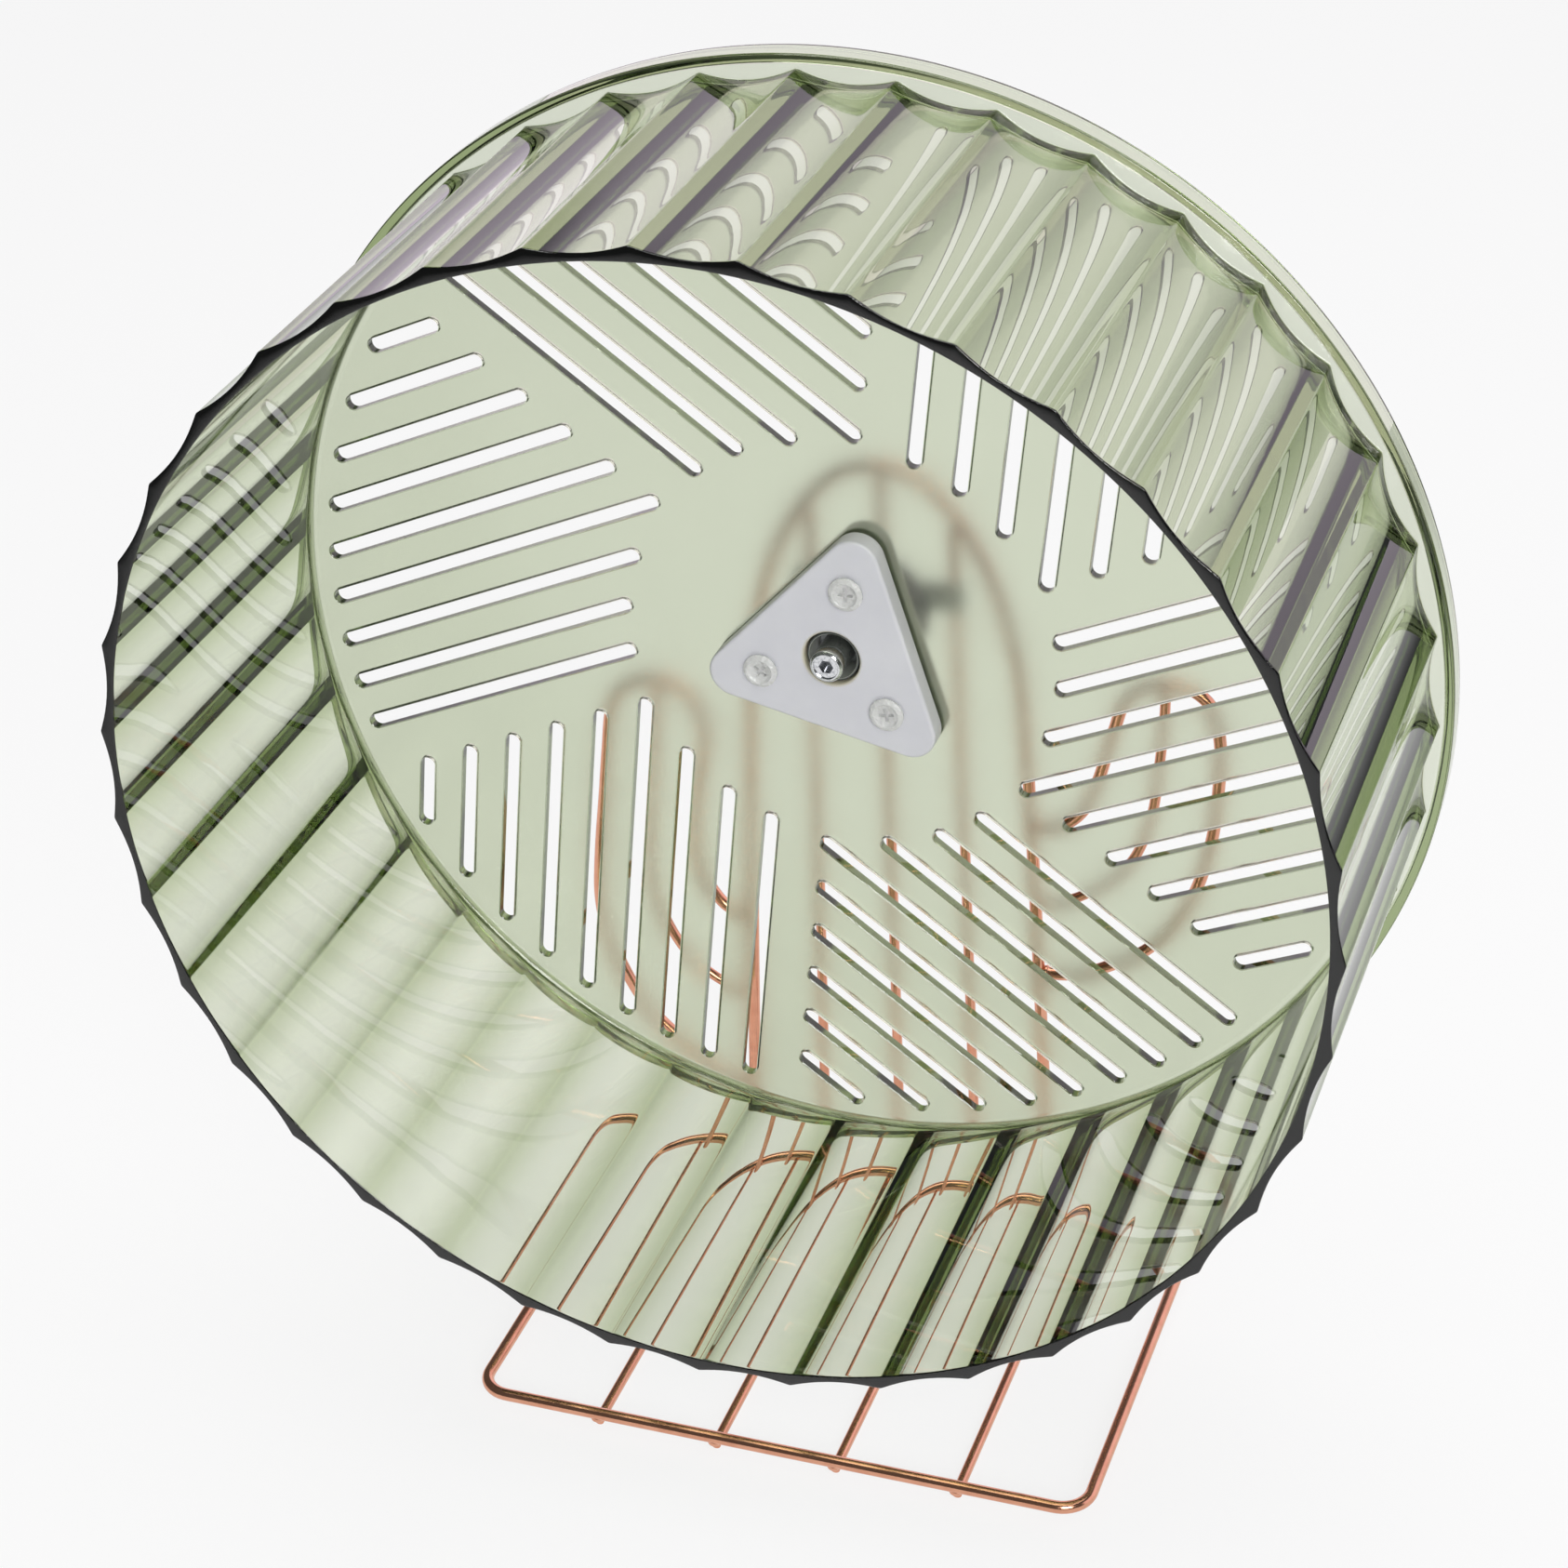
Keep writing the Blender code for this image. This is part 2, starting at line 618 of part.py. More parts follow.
def make_balls(label, front, parent):
    """The balls, each rolling between the two rings."""
    for number, angle in enumerate(ball_angles(), start=1):
        bm = bmesh.new()
        bmesh.ops.create_icosphere(bm, subdivisions=2, radius=BALL_RADIUS)
        name = label + "_ball_" + str(number)
        across = PITCH_RADIUS * math.cos(angle)
        height = PITCH_RADIUS * math.sin(angle)
        place = (across, front + BEARING_WIDTH / 2, height)
        make_object(name, finish_mesh(bm, name, 2 * SHARP_ANGLE), bright_steel, parent, place)


def make_cage(name, front, parent):
    """Ring with a round pocket for each ball."""
    middle = front + BEARING_WIDTH / 2
    pocket = BALL_RADIUS + FIT_GAP
    half_width = pocket + CAGE_RIM
    inside = PITCH_RADIUS - CAGE_WALL / 2
    outside = PITCH_RADIUS + CAGE_WALL / 2
    profile = [
        (inside, middle - half_width), (outside, middle - half_width),
        (outside, middle + half_width), (inside, middle + half_width),
    ]
    cage = make_object(name, turned_mesh(name, profile, BEARING_SIDES, True), bright_steel, parent)
    pockets = bmesh.new()
    for angle in ball_angles():
        loops = []
        for reach in (inside - CAGE_WALL, outside + CAGE_WALL):
            loop = []
            for step in range(POCKET_SIDES):
                turn = 2 * math.pi * step / POCKET_SIDES
                aside = pocket * math.cos(turn)
                across = reach * math.cos(angle) - aside * math.sin(angle)
                height = reach * math.sin(angle) + aside * math.cos(angle)
                loop.append((across, middle + pocket * math.sin(turn), height))
            loops.append(loop)
        add_skin(pockets, loops, False)
    apply_shape(cage, make_cutter(name + "_pockets", pockets, parent), "DIFFERENCE")


def make_axle():
    """Fixed axle: socket end, groove for the clip, bearing seat, collar and riveted tail."""
    clip_rear = FRONT_BEARING - FIT_GAP
    groove_rear = clip_rear
    groove_front = clip_rear - CLIP_THICKNESS - FIT_GAP * 2
    groove_radius = AXLE_RADIUS - AXLE_GROOVE_DEPTH
    end_radius = AXLE_RADIUS - AXLE_END_CHAMFER
    recess_radius = end_radius - AXLE_END_RIM
    profile = [
        (recess_radius, AXLE_END_RECESS - AXLE_FRONT_REACH),
        (recess_radius, -AXLE_FRONT_REACH),
        (end_radius, -AXLE_FRONT_REACH),
        (AXLE_RADIUS, AXLE_END_CHAMFER - AXLE_FRONT_REACH),
        (AXLE_RADIUS, groove_front),
        (groove_radius, groove_front),
        (groove_radius, groove_rear),
        (AXLE_RADIUS, groove_rear),
        (AXLE_RADIUS, COLLAR_FRONT),
        (COLLAR_RADIUS, COLLAR_FRONT),
        (COLLAR_RADIUS, STRAP_FRONT - WELD_GAP),
        (AXLE_RADIUS, STRAP_FRONT - WELD_GAP),
        (AXLE_RADIUS, STRAP_BACK),
    ]
    place = (0.0, FLANGE_Y, AXLE_Z)
    axle = make_object("axle", turned_mesh("axle", profile, BEARING_SIDES, False), bright_steel,
                       None, place)
    socket = bmesh.new()
    hex_sides = 6
    corner_radius = HEX_SOCKET_FLATS / 2 / math.cos(math.pi / hex_sides)
    ends = (-AXLE_FRONT_REACH - OVERRUN, HEX_SOCKET_DEPTH - AXLE_FRONT_REACH)
    add_skin(socket, [circle(corner_radius, depth, hex_sides) for depth in ends], False)
    cutter = make_cutter("socket_cutter", socket)
    cutter.location = place
    apply_shape(axle, cutter, "DIFFERENCE")


def make_axle_clip():
    """Open spring clip in the axle's groove."""
    inside = AXLE_RADIUS - AXLE_GROOVE_DEPTH + FIT_GAP
    outside = inside + CLIP_WIDTH
    rear = FRONT_BEARING - FIT_GAP * 2
    front = rear - CLIP_THICKNESS
    start = math.radians(CLIP_OPENING / 2)
    sweep = 2 * math.pi - 2 * start
    loops = []
    for step in range(SCREW_SIDES + 1):
        angle = start + sweep * step / SCREW_SIDES
        section = [(inside, front), (outside, front), (outside, rear), (inside, rear)]
        loops.append([(radius * math.cos(angle), depth, radius * math.sin(angle))
                      for radius, depth in section])
    bm = bmesh.new()
    add_skin(bm, loops, False)
    place = (0.0, FLANGE_Y, AXLE_Z)
    make_object("axle_clip", finish_mesh(bm, "axle_clip"), bright_steel, None, place)


def make_bearing_spacer():
    """Sleeve between the two inner rings."""
    outside = RING_BORE + SPACER_WALL
    rear = SPACER_FRONT + SPACER_LENGTH
    profile = [
        (RING_BORE, SPACER_FRONT), (outside, SPACER_FRONT), (outside, rear), (RING_BORE, rear),
    ]
    mesh = turned_mesh("bearing_spacer", profile, BEARING_SIDES, True)
    make_object("bearing_spacer", mesh, bright_steel, None, (0.0, FLANGE_Y, AXLE_Z))


def make_axle_bracket():
    """Steel strap with a round eye, welded across the body wires."""
    half_height = STRAP_HEIGHT / 2
    eye_angle = math.asin(half_height / STRAP_EYE_RADIUS)
    outline = []
    for side in (0, 1):
        turn = math.pi * side
        direction = math.cos(turn)
        outline.append((direction * STRAP_HALF_LENGTH, -direction * half_height))
        outline.append((direction * STRAP_HALF_LENGTH, direction * half_height))
        for step in range(2 * HUB_ARC_STEPS + 1):
            share = step / (2 * HUB_ARC_STEPS)
            angle = turn + eye_angle + (math.pi - 2 * eye_angle) * share
            outline.append((STRAP_EYE_RADIUS * math.cos(angle), STRAP_EYE_RADIUS * math.sin(angle)))
    bm = bmesh.new()
    loops = []
    for depth in (STRAP_FRONT, STRAP_BACK):
        loops.append([(across, depth, height) for across, height in outline])
    add_skin(bm, loops, False)
    place = (0.0, FLANGE_Y, AXLE_Z)
    bracket = make_object("axle_bracket", finish_mesh(bm, "axle_bracket"), bright_steel, None, place)
    hole = bmesh.new()
    ends = (STRAP_FRONT - OVERRUN, STRAP_BACK + OVERRUN)
    add_skin(hole, [circle(AXLE_RADIUS + FIT_GAP, depth, ROUND_SIDES) for depth in ends], False)
    cutter = make_cutter("bracket_cutter", hole)
    cutter.location = place
    apply_shape(bracket, cutter, "DIFFERENCE")


def smooth_route(points):
    """Catmull-Rom curve through hand-chosen points of a bent wire."""
    route = []
    last = len(points) - 1
    for index in range(last):
        before = points[max(index - 1, 0)]
        start = points[index]
        end = points[index + 1]
        after = points[min(index + 2, last)]
        for step in range(WIRE_SPLINE_STEPS):
            share = step / WIRE_SPLINE_STEPS
            place = []
            for axis in (0, 1):
                slope_in = (end[axis] - before[axis]) / 2
                slope_out = (after[axis] - start[axis]) / 2
                rise = end[axis] - start[axis]
                square = 3 * rise - 2 * slope_in - slope_out
                cube = slope_in + slope_out - 2 * rise
                place.append(start[axis] + share * (slope_in + share * (square + share * cube)))
            route.append(tuple(place))
    route.append(points[last])
    return route


def make_wire(name, points, radius, cyclic=False):
    """A round wire along points that stand in the room."""
    curve = bpy.data.curves.new(name, "CURVE")
    curve.dimensions = "3D"
    curve.bevel_depth = radius
    curve.bevel_resolution = WIRE_BEVEL_RESOLUTION
    curve.use_fill_caps = not cyclic
    spline = curve.splines.new("POLY")
    spline.points.add(len(points) - 1)
    for target, point in zip(spline.points, points):
        target.co = (*point, 1.0)
    spline.use_cyclic_u = cyclic
    return make_object(name, curve, rose_gold)


def make_back_wire(name, route, radius, depth):
    """A wire of the back frame, from points beside and above the axle."""
    points = [(across, FLANGE_Y + depth, AXLE_Z + height) for across, height in route]
    make_wire(name, points, radius)


def arch_route():
    """The arch from its left foot over the top to its right foot."""
    foot = -AXLE_OVER_FRAME
    rise = ARCH_TOP - foot
    left = [(-ARCH_HALF_WIDTH * across, foot + rise * up) for across, up in ARCH_SHARES]
    right = [(-across, height) for across, height in left[:-1]]
    return smooth_route(left + right[::-1])


def arm_points(side, edge, reach, foot, height, shares):
    """Points of an arm's wire from its shares of reach and height."""
    points = []
    for across, up in shares:
        points.append((side * (edge + reach * across), height * up - foot))
    return points


def crossings(route, fixed, value):
    """Where a route passes a value of one coordinate, given as the other one."""
    found = []
    for start, end in zip(route, route[1:]):
        low, high = sorted((start[fixed], end[fixed]))
        if low <= value <= high and high > low:
            share = (value - start[fixed]) / (end[fixed] - start[fixed])
            found.append(start[1 - fixed] + (end[1 - fixed] - start[1 - fixed]) * share)
    return found


def beside(route, height, side, radius):
    """Where a level wire end stops beside a standing wire of the arch."""
    levels = (height - radius, height, height + radius)
    reach = max(side * across for level in levels for across in crossings(route, 1, level))
    return side * (reach + FRAME_WIRE_RADIUS + WELD_GAP)


def below(route, across, radius):
    """Where an upright wire end stops under the top of an arched wire."""
    left, middle, right = (max(crossings(route, 0, across + offset))
                           for offset in (-radius, 0.0, radius))
    slope = (right - left) / (2 * radius)
    clear = (FRAME_WIRE_RADIUS + WELD_GAP) * math.sqrt(1 + slope ** 2)
    return min(left, middle, right) - clear


def make_arm(label, side, edge, reach, foot, height, shares, inner_shares):
    """One arm: an outer wire looped from the arch, and a thinner wire inside it."""
    arch = arch_route()
    outer = arm_points(side, edge, reach, foot, height, shares)
    starts = (beside(arch, outer[0][1], side, FRAME_WIRE_RADIUS), outer[0][1])
    ends = (beside(arch, outer[-1][1], side, FRAME_WIRE_RADIUS), outer[-1][1])
    outer_route = smooth_route([starts] + outer + [ends])
    make_back_wire(label + "_arm_wire", outer_route, FRAME_WIRE_RADIUS, STAND_DEPTH)
    inner = arm_points(side, edge, reach, foot, height, inner_shares)
    top = (inner[0][0], below(outer_route, inner[0][0], THIN_WIRE_RADIUS))
    end = (beside(arch, inner[-1][1], side, THIN_WIRE_RADIUS), inner[-1][1])
    inner_route = smooth_route([top] + inner + [end])
    make_back_wire(label + "_arm_inner_wire", inner_route, THIN_WIRE_RADIUS, BODY_WIRE_DEPTH)


def make_body_wires():
    """Three wires inside the arch, from under its top to the rear bar."""
    arch = arch_route()
    foot = -AXLE_OVER_FRAME
    for label, side in (("left", -1), ("middle", 0), ("right", 1)):
        across = side * BODY_WIRE_TOP_OFFSET
        top = below(arch, across, THIN_WIRE_RADIUS)
        route = [(across, top), (side * BODY_WIRE_FOOT_OFFSET, foot)]
        make_back_wire("body_wire_" + label, route, THIN_WIRE_RADIUS, BODY_WIRE_DEPTH)


def make_base():
    """Wire rectangle with round corners, and the thinner wires that stop under its front wire."""
    front = FLANGE_Y - BASE_FRONT_REACH
    rear = FLANGE_Y + REAR_BAR_DEPTH
    inset = BASE_HALF_WIDTH - BASE_CORNER_RADIUS
    corners = (
        (inset, rear - BASE_CORNER_RADIUS), (-inset, rear - BASE_CORNER_RADIUS),
        (-inset, front + BASE_CORNER_RADIUS), (inset, front + BASE_CORNER_RADIUS),
    )
    points = []
    for quarter, (across, depth) in enumerate(corners):
        for step in range(CORNER_STEPS + 1):
            angle = math.pi / 2 * (quarter + step / CORNER_STEPS)
            points.append((across + BASE_CORNER_RADIUS * math.cos(angle),
                           depth + BASE_CORNER_RADIUS * math.sin(angle), FRAME_Z))
    make_wire("base_frame", points, FRAME_WIRE_RADIUS, True)
    for index in range(BASE_WIRE_COUNT):
        across = (index - (BASE_WIRE_COUNT - 1) / 2) * BASE_WIRE_PITCH
        bm = bmesh.new()
        loops = []
        for depth in (front + BASE_WIRE_STOP, rear + FRAME_WIRE_RADIUS):
            loop = []
            for step in range(WIRE_SIDES):
                angle = math.pi * (2 * step + 1) / WIRE_SIDES
                loop.append((THIN_WIRE_RADIUS * math.cos(angle), depth,
                             THIN_WIRE_RADIUS * math.sin(angle)))
            loops.append(loop)
        add_skin(bm, loops, False)
        name = "base_wire_" + str(index + 1)
        make_object(name, finish_mesh(bm, name), rose_gold, None, (across, 0.0, BASE_WIRE_Z))


def make_stand():
    """Everything that stays still."""
    make_base()
    make_back_wire("body_arch", arch_route(), FRAME_WIRE_RADIUS, STAND_DEPTH)
    make_body_wires()
    make_arm("left", -1, LEFT_ARM_EDGE, LEFT_ARM_REACH, LEFT_ARM_FOOT, LEFT_ARM_HEIGHT,
             LEFT_ARM_SHARES, LEFT_INNER_SHARES)
    make_arm("right", 1, RIGHT_ARM_EDGE, RIGHT_ARM_REACH, RIGHT_ARM_FOOT, RIGHT_ARM_HEIGHT,
             RIGHT_ARM_SHARES, RIGHT_INNER_SHARES)
    make_axle_bracket()
    make_axle()
    make_axle_clip()
    make_bearing_spacer()
    make_inner_ring("front_inner_ring", FRONT_BEARING)
    make_inner_ring("rear_inner_ring", REAR_BEARING)


def make_wheel():
    """Everything that turns with the drum."""
    wheel_axis = make_empty("wheel_axis", REST_TURN)
    make_running_drum(wheel_axis)
    make_hub_plate(wheel_axis)
    for number, place in enumerate(screw_places(), start=1):
        make_hub_screw(number, place, wheel_axis)
    make_bearing_housing(wheel_axis)
    make_outer_ring("front_outer_ring", FRONT_BEARING, wheel_axis)
    make_outer_ring("rear_outer_ring", REAR_BEARING, wheel_axis)
    make_shields("front", FRONT_BEARING, wheel_axis)
    make_shields("rear", REAR_BEARING, wheel_axis)


def make_cages():
    """The balls and cages, which roll between the rings."""
    for label, front in (("front", FRONT_BEARING), ("rear", REAR_BEARING)):
        cage_axis = make_empty(label + "_cage_axis")
        make_balls(label, front, cage_axis)
        make_cage(label + "_cage", front, cage_axis)


clear_scene()
make_stand()
make_wheel()
make_cages()
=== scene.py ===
"""Hamster exercise wheel: a clear green fluted drum on a rose-gold wire stand.

Lengths are in metres, angles in degrees, +Z up, +Y to the back, axle along Y.
"""
import math

import bmesh
import bpy
from mathutils import Euler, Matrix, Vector, geometry


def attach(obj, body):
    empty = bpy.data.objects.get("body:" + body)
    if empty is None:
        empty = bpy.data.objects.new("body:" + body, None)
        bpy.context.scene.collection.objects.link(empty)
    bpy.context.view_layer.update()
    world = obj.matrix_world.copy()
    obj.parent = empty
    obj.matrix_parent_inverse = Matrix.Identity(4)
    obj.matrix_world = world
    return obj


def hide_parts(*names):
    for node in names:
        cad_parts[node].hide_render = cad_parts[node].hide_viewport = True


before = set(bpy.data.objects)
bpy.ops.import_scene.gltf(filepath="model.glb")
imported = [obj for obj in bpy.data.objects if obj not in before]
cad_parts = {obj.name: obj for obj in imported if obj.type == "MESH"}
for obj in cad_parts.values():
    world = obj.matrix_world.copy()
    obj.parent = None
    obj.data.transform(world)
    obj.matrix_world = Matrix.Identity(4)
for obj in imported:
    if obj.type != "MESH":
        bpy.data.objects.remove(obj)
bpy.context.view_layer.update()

# Camera: it stands in front, above and to the right, and looks down at the wheel.
# Its place, turn and lens were solved on the drum's circles, the slots and the wires.
CAMERA_PLACE = (0.229901, -0.624064, 0.561203)
CAMERA_TURN = (59.1117, 2.2917, 19.1692)
CAMERA_LENS = 81.02
CAMERA_SENSOR = 36.0
CAMERA_CLIP = (0.01, 20.0)


def add_object(name, data):
    """A new object in the scene."""
    made = bpy.data.objects.new(name, data)
    bpy.context.scene.collection.objects.link(made)
    return made


camera = add_object("camera", bpy.data.cameras.new("camera"))
camera.data.lens = CAMERA_LENS
camera.data.sensor_width = CAMERA_SENSOR
camera.data.clip_start, camera.data.clip_end = CAMERA_CLIP
camera.location = CAMERA_PLACE
camera.rotation_euler = Euler([math.radians(turn) for turn in CAMERA_TURN])
bpy.context.scene.camera = camera
bpy.context.scene.view_settings.view_transform = "Standard"

# Studio: a white table top in line with the camera before a pale wall, in a dim
# room, with soft boxes above and beside the camera. The table glows for the camera
# and in or through the pieces, and the object's shadow stays on it.
FLOOR_HEX = "FAFAFA"
ROOM_HEX = "626463"
WALL_HEX = "F0E4F1"
WALL_LIGHT = 1.32
WALL_TURN = 31.0
# Directions between which the wall starts at its sides and ends at its top
WALL_SPAN = (0.26, 0.42)
WALL_TOP = (0.58, 0.66)
WALL_SLOPE = 0.6
FLOOR_RADIUS = 2.6
FLOOR_SIDES = 96
TABLE_TURN = 20.0
TABLE_SPREAD = 0.175
# Distances between which the white table fades into the room
TABLE_SIDE = (0.27, 0.85)
TABLE_BACK = (2.3, 2.6)
TABLE_FRONT = (0.30, 1.2)
FLOOR_GLOW = 0.86
# Name, place, target, side and radiance of each soft box
SOFT_BOXES = (
    ("box_above", (0.1, 0.1, 2.0), (0.0, 0.1, 0.0), 1.8, 2.6),
    ("box_front", (1.0, -1.7, 1.25), (0.0, 0.0, 0.15), 1.1, 9.0),
)
# Kinds of node that come up often. A colour mix has inputs 6 and 7 and output 2.
MATHS = "ShaderNodeMath"
VECTOR_MATHS = "ShaderNodeVectorMath"
RANGE = "ShaderNodeMapRange"
MIX = "ShaderNodeMix"


def colour(hex_text):
    """An sRGB hex colour as linear red, green, blue and alpha."""
    shares = [int(hex_text[start:start + 2], 16) / 255 for start in (0, 2, 4)]
    linear = [share / 12.92 if share <= 0.04045 else ((share + 0.055) / 1.055) ** 2.4
              for share in shares]
    return (*linear, 1.0)


def add_node(tree, kind, inputs=None, **settings):
    """One node with its settings; an input is a value, a socket or a node's first output."""
    made = tree.nodes.new(kind)
    for name, value in settings.items():
        setattr(made, name, value)
    for key, value in (inputs or {}).items():
        if isinstance(value, bpy.types.Node):
            value = value.outputs[0]
        if isinstance(value, bpy.types.NodeSocket):
            tree.links.new(value, made.inputs[key])
        else:
            made.inputs[key].default_value = value
    return made


def new_material(name):
    """A material and its empty node tree."""
    material = bpy.data.materials.new(name)
    material.use_nodes = True
    material.node_tree.nodes.clear()
    return material, material.node_tree


def studio_floor():
    """A plain floor that reads white, keeps shadows, and fades into the room far away."""
    material, tree = new_material("studio_floor")
    place = add_node(tree, "ShaderNodeTexCoord").outputs["Object"]
    turned = add_node(tree, "ShaderNodeVectorRotate", {
        "Vector": place, "Angle": -math.radians(TABLE_TURN)}, rotation_type="Z_AXIS")
    parts = add_node(tree, "ShaderNodeSeparateXYZ", {0: turned}).outputs
    across = add_node(tree, MATHS, {0: parts["X"]}, operation="ABSOLUTE")
    wider = add_node(tree, MATHS, {0: parts["Y"], 1: TABLE_SPREAD}, operation="MULTIPLY")
    aside = add_node(tree, MATHS, {0: across, 1: wider}, operation="SUBTRACT")
    before = add_node(tree, MATHS, {0: parts["Y"], 1: -1.0}, operation="MULTIPLY")
    fade = 0.0
    for reach, (inner, outer) in (
            (aside, TABLE_SIDE), (parts["Y"], TABLE_BACK), (before, TABLE_FRONT)):
        edge = add_node(tree, RANGE, {"Value": reach, "From Min": inner, "From Max": outer},
                        interpolation_type="SMOOTHSTEP")
        fade = add_node(tree, MATHS, {0: fade, 1: edge}, operation="MAXIMUM")
    shade = add_node(tree, MIX, {
        "Factor": fade, 6: colour(FLOOR_HEX), 7: colour(ROOM_HEX)}, data_type="RGBA").outputs[2]
    rays = add_node(tree, "ShaderNodeLightPath").outputs
    mirrored = add_node(tree, MATHS, {
        0: rays["Is Glossy Ray"], 1: rays["Is Transmission Ray"]}, operation="MAXIMUM")
    seen = add_node(tree, MATHS, {0: rays["Is Camera Ray"], 1: mirrored}, operation="MAXIMUM")
    glow = add_node(tree, MATHS, {0: seen, 1: FLOOR_GLOW}, operation="MULTIPLY")
    share = add_node(tree, MATHS, {0: glow, 1: fade}, operation="MAXIMUM")
    both = add_node(tree, "ShaderNodeMixShader", {
        0: share, 1: add_node(tree, "ShaderNodeBsdfDiffuse", {"Color": shade}),
        2: add_node(tree, "ShaderNodeEmission", {"Color": shade})})
    add_node(tree, "ShaderNodeOutputMaterial", {"Surface": both})
    bm = bmesh.new()
    bmesh.ops.create_circle(bm, cap_ends=True, radius=FLOOR_RADIUS, segments=FLOOR_SIDES)
    mesh = bpy.data.meshes.new("studio_floor")
    bm.to_mesh(mesh)
    bm.free()
    mesh.materials.append(material)
    add_object("studio_floor", mesh)


def studio_world():
    """The dim room with its low pale wall behind the table, the same for every kind of ray."""
    world = bpy.data.worlds.new("studio")
    world.use_nodes = True
    bpy.context.scene.world = world
    tree = world.node_tree
    tree.nodes.clear()
    place = add_node(tree, "ShaderNodeTexCoord").outputs["Generated"]
    turn = math.radians(WALL_TURN)
    ahead = add_node(tree, VECTOR_MATHS, {
        0: place, 1: (math.sin(turn), math.cos(turn), 0.0)}, operation="DOT_PRODUCT")
    parts = add_node(tree, "ShaderNodeSeparateXYZ", {0: place}).outputs
    left = add_node(tree, MATHS, {0: parts["X"], 1: -WALL_SLOPE}, operation="MULTIPLY")
    leftward = add_node(tree, MATHS, {0: left, 1: 0.0}, operation="MAXIMUM")
    height = add_node(tree, MATHS, {0: parts["Z"], 1: leftward}, operation="ADD")
    inside, above = [
        add_node(tree, RANGE, {"Value": value, "From Min": low, "From Max": high},
                 interpolation_type="SMOOTHSTEP")
        for value, (low, high) in ((ahead.outputs["Value"], WALL_SPAN), (height, WALL_TOP))]
    below = add_node(tree, MATHS, {0: 1.0, 1: above}, operation="SUBTRACT")
    on_wall = add_node(tree, MATHS, {0: inside, 1: below}, operation="MULTIPLY")
    lit_wall = [share * WALL_LIGHT for share in colour(WALL_HEX)[:3]] + [1.0]
    shade = add_node(tree, MIX, {
        "Factor": on_wall, 6: colour(ROOM_HEX), 7: lit_wall}, data_type="RGBA").outputs[2]
    light = add_node(tree, "ShaderNodeBackground", {"Color": shade})
    add_node(tree, "ShaderNodeOutputWorld", {"Surface": light})


def soft_box(name, place, target, side, light):
    """A square area light that faces a point, with an even radiance."""
    lamp = add_object(name, bpy.data.lights.new(name, "AREA"))
    lamp.data.shape = "RECTANGLE"
    lamp.data.size = lamp.data.size_y = side
    lamp.data.energy = light * math.pi * side * side
    lamp.location = place
    lamp.rotation_euler = (Vector(target) - Vector(place)).to_track_quat("-Z", "Y").to_euler()
    lamp.visible_camera = False


studio_floor()
studio_world()
for box in SOFT_BOXES:
    soft_box(*box)

# Running drum: one injection moulding in clear green polystyrene. The track's
# outside has 39 hollow flutes that meet in ridges, the flat back is satin, with
# six groups of nine air slots, and a stiff flange runs round the rear edge.
AXLE_Y = 0.0294
AXLE_Z = 0.182517
REST_TURN = 23.2
TRACK_RADIUS = 0.130
TRACK_FRONT = -0.0955
TRACK_WALL = 0.0016
RIDGE_FRONT = 0.0018
RIDGE_BACK = 0.0025
RIDGE_ROUNDING = 0.03
RIM_ROUNDING = 0.00035
CORNER_FILLET = 0.0018
BACK_FRONT = -0.0008
BACK_REAR = 0.0016
FLANGE_RADIUS = 0.13696
FLANGE_DEPTH = 0.0069
FLANGE_WALL = 0.0020
FLANGE_EDGE = 0.0005
FLANGE_CHAMFER = 0.0007
FLANGE_FILLET = 0.0005
CORNER_STEPS = 8
ROUND_STEPS = 4
EDGE_STEPS = 3
SPARE = 0.0003
DRUM_CREASE = 38.0
FLUTES = 39
FLUTE_TURN = 4.3
# Columns of one flute, from one ridge to the next, closer near the ridges
FLUTE_SHARES = (
    0.0, 0.006, 0.013, 0.022, 0.036, 0.06, 0.10, 0.16, 0.24, 0.33, 0.42, 0.5,
    0.58, 0.67, 0.76, 0.84, 0.90, 0.94, 0.964, 0.978, 0.987, 0.994,
)
SLOT_GROUPS = 6
SLOTS_PER_GROUP = 9
SLOT_RADIUS = 0.00175
SLOT_BEVEL = 0.00022
SLOT_OUTER = 0.1248
SLOT_INNER = 0.050
SLOT_FIRST = 0.0126
SLOT_PITCH = 0.0108
SLOT_END_STEPS = 12
HUB_TURN = 53.5
SCREW_CIRCLE = 0.0175
SCREW_HOLE = 0.00205
HOLE_SIDES = 24
DRUM_BORE = 0.0064
BORE_SIDES = 64
SURFACE_HEX = "FFFFFF"
# Each metre of plastic takes up what the tint lacks of white, times the density
GREEN_HEX = "BCCB91"
GREEN_DENSITY = 300.0
STYRENE_IOR = 1.58
GLOSS_ROUGHNESS = 0.012
SATIN_ROUGHNESS = 0.23
SATIN_SWING = 0.02
# Noise scales are waves in a metre: satin patches of 17 mm, moulding ripples of 14 mm
SATIN_WAVES = 60.0
RIPPLE_WAVES = 70.0
RIPPLE_HEIGHT = 0.00002
NOISE = "ShaderNodeTexNoise"


def around(radius, angle, depth):
    """A point at an angle round the axle and a depth behind the flange's front face."""
    turn = math.radians(angle)
    return (radius * math.cos(turn), AXLE_Y + depth, AXLE_Z + radius * math.sin(turn))


def from_axle(tree, place):
    """Coordinates counted from the axle."""
    return add_node(tree, VECTOR_MATHS, {0: place, 1: (0.0, AXLE_Y, AXLE_Z)}, operation="SUBTRACT")


def object_from_axle(tree):
    """Object coordinates counted from the axle, for patterns that turn with the piece."""
    return from_axle(tree, add_node(tree, "ShaderNodeTexCoord").outputs["Object"])


